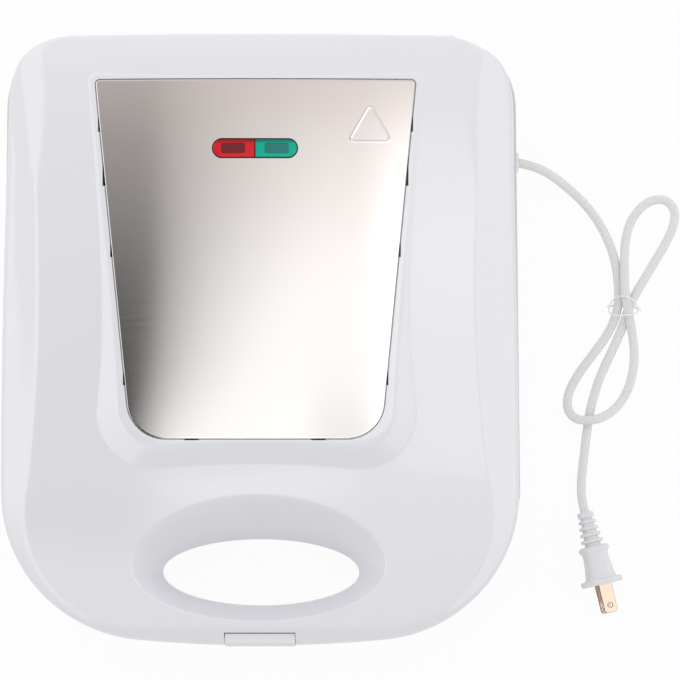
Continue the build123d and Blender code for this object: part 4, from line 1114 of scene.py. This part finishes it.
# cast aluminium under a sprayed non-stick coat: dark, with a low shine and a sparkle of 0.6 mm
coat, tree, shader = newMaterial("nonStickCoat", "#2c2c2e", 0.42)
addGrain(tree, shader, (1800, 1800, 1800), 5.0, 0.8, rough=(0.36, 0.52), bump=(0.3, 0.00004))
paintNodes(coat, "lower_plate", "upper_plate")
for name, color, roughness, more, painted in (
        # phenolic, pressed: matt, near black and a little brown
        ("pressedPhenolic", "#2a2422", 0.55, {}, ["lens_holder", "terminal_block", "thermostat"]),
        # glass of the neon lamps, blown: smooth, with the lamp's warm tint
        ("blownLampGlass", "#f4ead8", 0.08, {}, ["pilot_lamps"]),
        # steel tube of the elements, oxidised by heat: dull dark grey
        ("oxidisedSteelTube", "#5e5a55", 0.5, {"metallic": 1.0}, ["lower_heater", "upper_heater"]),
        # aluminised steel sheet, rolled: pale, half bright
        ("aluminisedSheet", "#bfc1c3", 0.35, {"metallic": 1.0}, ["lower_reflector", "upper_reflector"]),
        # steel of the screws and pins, zinc-plated: cool and bright
        ("zincPlatedSteel", "#b4b6b9", 0.3, {"metallic": 1.0},
         ["lower_plate_screws", "upper_plate_screws", "cover_screws", "deck_screws", "liner_screws",
          "foot_screws", "hinge_pins", "latch_pin"]),
        # rubber of the feet, moulded: dark and quite dull
        ("mouldedRubber", "#3a3b3d", 0.75, {}, ["feet"]),
        # ABS of the catch, moulded: off-white, warmer and less bright than the casing
        ("mouldedWarmABS", "#eae8ea", 0.2, {"ior": 1.53}, ["latch"])):
    paintNodes(newMaterial(name, color, roughness, **more)[0], *painted)


# the leads, and the sleeve that takes them across the hinge, with their corners in mm
leadRuns = {
    "base_wiring": [
        [(131.6, 102.5, 20), (126.6, 102.5, 20), (125.5, 71, 17.2), (120, 71, 17.2)],
        [(131.6, 106.5, 20), (126.6, 106.5, 20), (125.5, 81, 17.2), (120, 81, 17.2)],
        [(132, 56, 40.5), (137, 56, 40.5), (137, 58, 21.2), (126, 66, 17.2), (120, 66, 17.2)],
        [(98, 14, 30.3), (98, 6, 30.3), (133, -12, 26.3), (137, -12, 35.5), (137, -12, 40.5), (132, -12, 40.5)],
        [(98, 30, 30.3), (98, 38, 30.3), (110, 54, 17.2), (110, 61, 17.2)],
    ] + [
        [(x, 147, z), (x, 142, z), (91, y, 17.2), (100, y, 17.2)]
        for x, z, y in ((10.95, 18.95, 67), (10.95, 21.05, 73), (13.05, 18.95, 79), (13.05, 21.05, 85))
    ],
    "lid_wiring": [
        [(10.95, 147, 64.95), (10.95, 143, 64.95), (8.95, 133, 73.95), (-12.4, 34, 86.3), (-12.4, 22, 82.3),
         (-6.4, 22, 82.3)],
        [(13.05, 147, 64.95), (13.05, 141, 64.95), (127, 137, 64.95), (137, 70, 65.7), (137, 56, 60.7),
         (132, 56, 60.7)],
        [(6.4, 22, 82.3), (14.4, 22, 82.3), (123, -18, 74.7), (137, -16, 65.7), (137, -12, 60.7), (132, -12, 60.7)],
    ] + [
        [(x, 147, 67.05), (x, 138, 67.05), (lamp, 112.5, 76.3), (lamp, 106.5, 79.3), (lamp, 106.5, 84.3)]
        for x, lamp in ((10.95, -12), (13.05, 12))
    ],
}
leadBend, leadRadius = 2.0, 1.0
sleeve = {
    "run": [(12, 147, 20), (12, 167, 20), (12, 167, 66), (12, 147, 66)],
    "radius": 2.6, "bend": 6.0, "turnsFrom": (12, 167, 44), "turnsTo": (12, 167, 60),
}


def roundedPath(corners, bend, step=1.2):
    # straight runs joined by rounded bends, in close steps
    corners = [Vector(c) for c in corners]
    path = [corners[0]]

    def goTo(place):
        start = path[-1]
        count = max(1, round((place - start).length / step))
        path.extend(start.lerp(place, (k + 1) / count) for k in range(count))
    for back, here, ahead in zip(corners, corners[1:], corners[2:]):
        away = (back - here).normalized() * bend
        on = (ahead - here).normalized() * bend
        goTo(here + away)
        path.extend(here + away * (1 - k / 8) ** 2 + on * (k / 8) ** 2 for k in range(1, 9))
    goTo(corners[-1])
    return path


def makeTubes(name, runs, bend, radius, material, sides):
    # round tubes along the runs, with closed ends, as one mesh
    shell = Shell()
    circle = arcPoints((0, 0), radius, 0, 2 * math.pi, sides)
    for run in runs:
        path = roundedPath(run, bend)
        ways = [(b - a).normalized() for a, b in zip(path[:1] + path, path[1:] + path[-1:])]
        side = Vector((1, 0, 0)) if abs(ways[0].x) < 0.9 else Vector((0, 0, 1))
        rings = []
        for place, ahead in zip(path, ways):
            side = (side - ahead * side.dot(ahead)).normalized()
            other = ahead.cross(side)
            rings.append(shell.add(place + side * x + other * y for x, y in circle))
        shell.solid(rings)
    piece = shell.piece(name, material)
    smoothShade(piece, 50)
    return piece


# silicone covers, extruded: off-white, dull, with a faint dusty skin that varies over 2.5 mm
silicone, tree, shader = newMaterial("extrudedSilicone", "#d9d4c6", 0.5, ior=1.41)
addGrain(tree, shader, (400, 400, 400), rough=(0.42, 0.6))
for node, name, body in (("base_wiring", "baseLeads", "base"), ("lid_wiring", "lidLeads", "lid")):
    piece = makeTubes(name, leadRuns[node], leadBend, leadRadius, silicone, 12)
    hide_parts(node)
    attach(piece, body)

# glass fibre, braided and varnished: straw white, matt, with crossing strands about a millimetre wide
weave, tree, shader = newMaterial("braidedGlassFibre", "#e6e0cf", 0.7)
strands = [addNode(tree, "ShaderNodeTexWave", {"Scale": 1.0, "Distortion": 0.0},
                   {"Vector": objectCoords(tree, (330, 330, 330), (turn, 0, turn))}, bands_direction="Z")
           for turn in (0.8, -0.8)]
crossed = addNode(tree, "ShaderNodeMath", None, {k: strands[k].outputs["Fac"] for k in (0, 1)}, operation="MAXIMUM")
useGrain(tree, shader, crossed.outputs[0], bump=(0.6, 0.0002))
paintNodes(weave, "thermal_fuse")
sleevePiece = makeTubes("hingeSleeve", [sleeve["run"]], sleeve["bend"], sleeve["radius"], weave, 28)
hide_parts("hinge_leads")
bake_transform(sleevePiece)
print("leads and sleeve made")


# the floor and the light, in metres
studio = {
    "floorColor": 0.9, "floorSeen": 0.94,    # the share of its own white that the camera sees
    "skyLean": 0.13, "skyLevel": 0.84,       # a little brighter behind
    # place, target, size and power of each soft lamp
    "softboxOver": ((0.1, 0.0, 1.9), (0.1, 0.0, 0), (1.6, 1.2), 0.8),
    "softboxRear": ((-0.9, 1.3, 1.3), (0, 0, 0), (1.0, 1.0), 3.2),
    "softboxRight": ((1.5, 0.3, 0.18), (0, 0.1, 0.05), (1.6, 0.3), 1.2),
    # place across and top of each bright wall, which only shine reflects
    "leftWall": (-1.6, 2.0), "rightWall": (1.7, 1.5), "wallGlow": 2.0,
}
card = {
    # a graded card overhead, seen by the shine alone: its limits and its height
    "box": (-1.12, 0.9, -1.1, 0.62), "height": 1.66,
    # each ramp runs along an axis, from a place to a place, between two values
    "shift": 0.44, "skew": ("Y", -0.05, -0.3, 0.0, 0.09), "spread": ("Y", -0.28, 0.3, 0.14, 0.8), "rise": 0.6,
    "dark": ("Y", -0.30, 0.36, 0.0, 1.0), "darkFall": 1.7, "darkLevel": 0.74,
    "bright": ("Y", 0.06, 0.36, 1.74, 1.2),
    "patch": [("X", 0.03, 0.1, 0.0, 1.0), ("Y", -0.13, -0.27, 0.0, 0.4)],
    "window": [("X", 0.24, 0.36, 0.0, 1.2), ("Y", 0.3, 0.06, 0.0, 1.0)],
    "windowSlant": 0.25, "windowEdge": (-0.56, -0.54),
    "bar": [("Y", -0.83, -0.8, 0.0, 1.1), ("X", -0.46, -0.44, 0.0, 1.0), ("X", 0.22, 0.2, 0.0, 1.0)],
    "barSlant": 0.3, "barEdge": (-0.62, -0.63),
    "warm": ("Y", 0.08, 0.34, 0.0, 1.0), "front": "#fffdfc", "rear": "#fff4f0",
}


def emptyTree(owner):
    owner.use_nodes = True
    owner.node_tree.nodes.clear()
    return owner.node_tree


def seenBy(tree, *rays):
    # 1 for any of these rays, 0 for the light that falls on the pieces
    path = addNode(tree, "ShaderNodeLightPath")
    seen = path.outputs[rays[0]]
    for ray in rays[1:]:
        both = addNode(tree, "ShaderNodeMath", None, {0: seen, 1: path.outputs[ray]}, operation="MAXIMUM")
        seen = both.outputs[0]
    return seen


def makeFloor():
    material = bpy.data.materials.new("paperSweep")
    tree = emptyTree(material)
    part = addNode(tree, "ShaderNodeMath", {1: studio["floorSeen"]},
                   {0: seenBy(tree, "Is Camera Ray", "Is Glossy Ray")}, operation="MULTIPLY")
    diffuse = addNode(tree, "ShaderNodeBsdfDiffuse", {"Color": (*[studio["floorColor"]] * 3, 1)})
    glow = addNode(tree, "ShaderNodeEmission", {"Color": (1, 1, 1, 1), "Strength": 1.0})
    mix = addNode(tree, "ShaderNodeMixShader", None,
                  {"Fac": part.outputs[0], 1: diffuse.outputs[0], 2: glow.outputs[0]})
    addNode(tree, "ShaderNodeOutputMaterial", None, {"Surface": mix.outputs[0]})
    floor = newPiece("floor", [(-3, -3, 0), (3, -3, 0), (3, 3, 0), (-3, 3, 0)], [(0, 1, 2, 3)], material)
    floor.location.z = -0.00002


def makeWorld():
    world = bpy.data.worlds.new("studio")
    bpy.context.scene.world = world
    tree = emptyTree(world)
    seen = seenBy(tree, "Is Camera Ray", "Is Glossy Ray", "Is Transmission Ray")
    coords = addNode(tree, "ShaderNodeTexCoord")
    way = addNode(tree, "ShaderNodeSeparateXYZ", None, {"Vector": coords.outputs["Generated"]})
    lean = addNode(tree, "ShaderNodeMath", {1: studio["skyLean"], 2: studio["skyLevel"]},
                   {0: way.outputs["Y"]}, operation="MULTIPLY_ADD")
    strength = addNode(tree, "ShaderNodeMapRange", {"To Max": 1.0}, {"Value": seen, "To Min": lean.outputs[0]})
    back = addNode(tree, "ShaderNodeBackground", {"Color": (1, 1, 1, 1)}, {"Strength": strength.outputs["Result"]})
    addNode(tree, "ShaderNodeOutputWorld", None, {"Surface": back.outputs[0]})


def makeSoftbox(name, place, target, size, power):
    data = bpy.data.lights.new(name, "AREA")
    data.shape = "RECTANGLE"
    data.size, data.size_y = size
    data.energy = power
    light = newObject(name, data)
    light.location = place
    light.rotation_euler = (Vector(target) - Vector(place)).to_track_quat("-Z", "Y").to_euler()
    light.visible_glossy = False


def stageCard(name, corners):
    # a card that only the shine of the pieces can see
    material = bpy.data.materials.new(name)
    tree = emptyTree(material)
    surface = newPiece(name, corners, [(0, 1, 2, 3)], material)
    surface.visible_camera = False
    surface.visible_diffuse = False
    surface.visible_shadow = False
    surface.visible_transmission = False
    return tree


def makeWall(name, x, top):
    tree = stageCard(name, [(x, -3, 0.1), (x, 3, 0.1), (x, 3, top), (x, -3, top)])
    glow = addNode(tree, "ShaderNodeEmission", {"Color": (1, 1, 1, 1), "Strength": studio["wallGlow"]})
    addNode(tree, "ShaderNodeOutputMaterial", None, {"Surface": glow.outputs[0]})


def makeCard(x0, x1, y0, y1):
    # softly graded: dark on its left, bright from the middle on
    tree = stageCard("gradedCard", [(x, y, card["height"]) for x, y in ((x0, y0), (x1, y0), (x1, y1), (x0, y1))])
    coords = addNode(tree, "ShaderNodeTexCoord")
    place = addNode(tree, "ShaderNodeSeparateXYZ", None, {"Vector": coords.outputs["Object"]}).outputs

    def ramp(value, start, end, low, high):
        # along an axis, or over another socket
        source = place[value] if isinstance(value, str) else value
        limits = {"From Min": start, "From Max": end, "To Min": low, "To Max": high}
        return addNode(tree, "ShaderNodeMapRange", limits, {"Value": source}).outputs["Result"]

    def combine(operation, *inputs):
        # works on two or more numbers or sockets in turn
        result = inputs[0]
        for value in inputs[1:]:
            pair = {0: result, 1: value}
            values = {k: v for k, v in pair.items() if isinstance(v, float)}
            links = {k: v for k, v in pair.items() if k not in values}
            result = addNode(tree, "ShaderNodeMath", values, links, operation=operation).outputs[0]
        return result
    shifted = combine("ADD", place["X"], card["shift"], ramp(*card["skew"]))
    across = addNode(tree, "ShaderNodeClamp", None, {"Value": combine("DIVIDE", shifted, ramp(*card["spread"]))})
    across = combine("POWER", across.outputs["Result"], card["rise"])
    dark = combine("MULTIPLY", combine("POWER", ramp(*card["dark"]), card["darkFall"]), card["darkLevel"])
    bright = combine("SUBTRACT", ramp(*card["bright"]), combine("MULTIPLY", *[ramp(*r) for r in card["patch"]]))
    # a brighter window on the right and a bar in front, both with firm edges
    slant = combine("ADD", place["Y"], combine("MULTIPLY", place["X"], card["windowSlant"]))
    tilted = combine("SUBTRACT", place["Y"], combine("MULTIPLY", place["X"], card["barSlant"]))
    for name, line in (("window", slant), ("bar", tilted)):
        edge = ramp(line, *card[name + "Edge"], 0.0, 1.0)
        bright = combine("ADD", bright, combine("MULTIPLY", edge, *[ramp(*r) for r in card[name]]))
    strength = combine("ADD", combine("MULTIPLY", bright, across),
                       combine("MULTIPLY", dark, combine("SUBTRACT", 1.0, across)))
    # warm at the rear, as from a lamp, and neutral in front
    color = addNode(tree, "ShaderNodeMix", {"A": linear(card["front"]), "B": linear(card["rear"])},
                    {"Factor": ramp(*card["warm"])}, data_type="RGBA")
    glow = addNode(tree, "ShaderNodeEmission", None, {"Color": color.outputs["Result"], "Strength": strength})
    addNode(tree, "ShaderNodeOutputMaterial", None, {"Surface": glow.outputs[0]})


makeFloor()
makeWorld()
for name in ("softboxOver", "softboxRear", "softboxRight"):
    makeSoftbox(name, *studio[name])
for name in ("leftWall", "rightWall"):
    makeWall(name, *studio[name])
makeCard(*card["box"])
print("studio made")
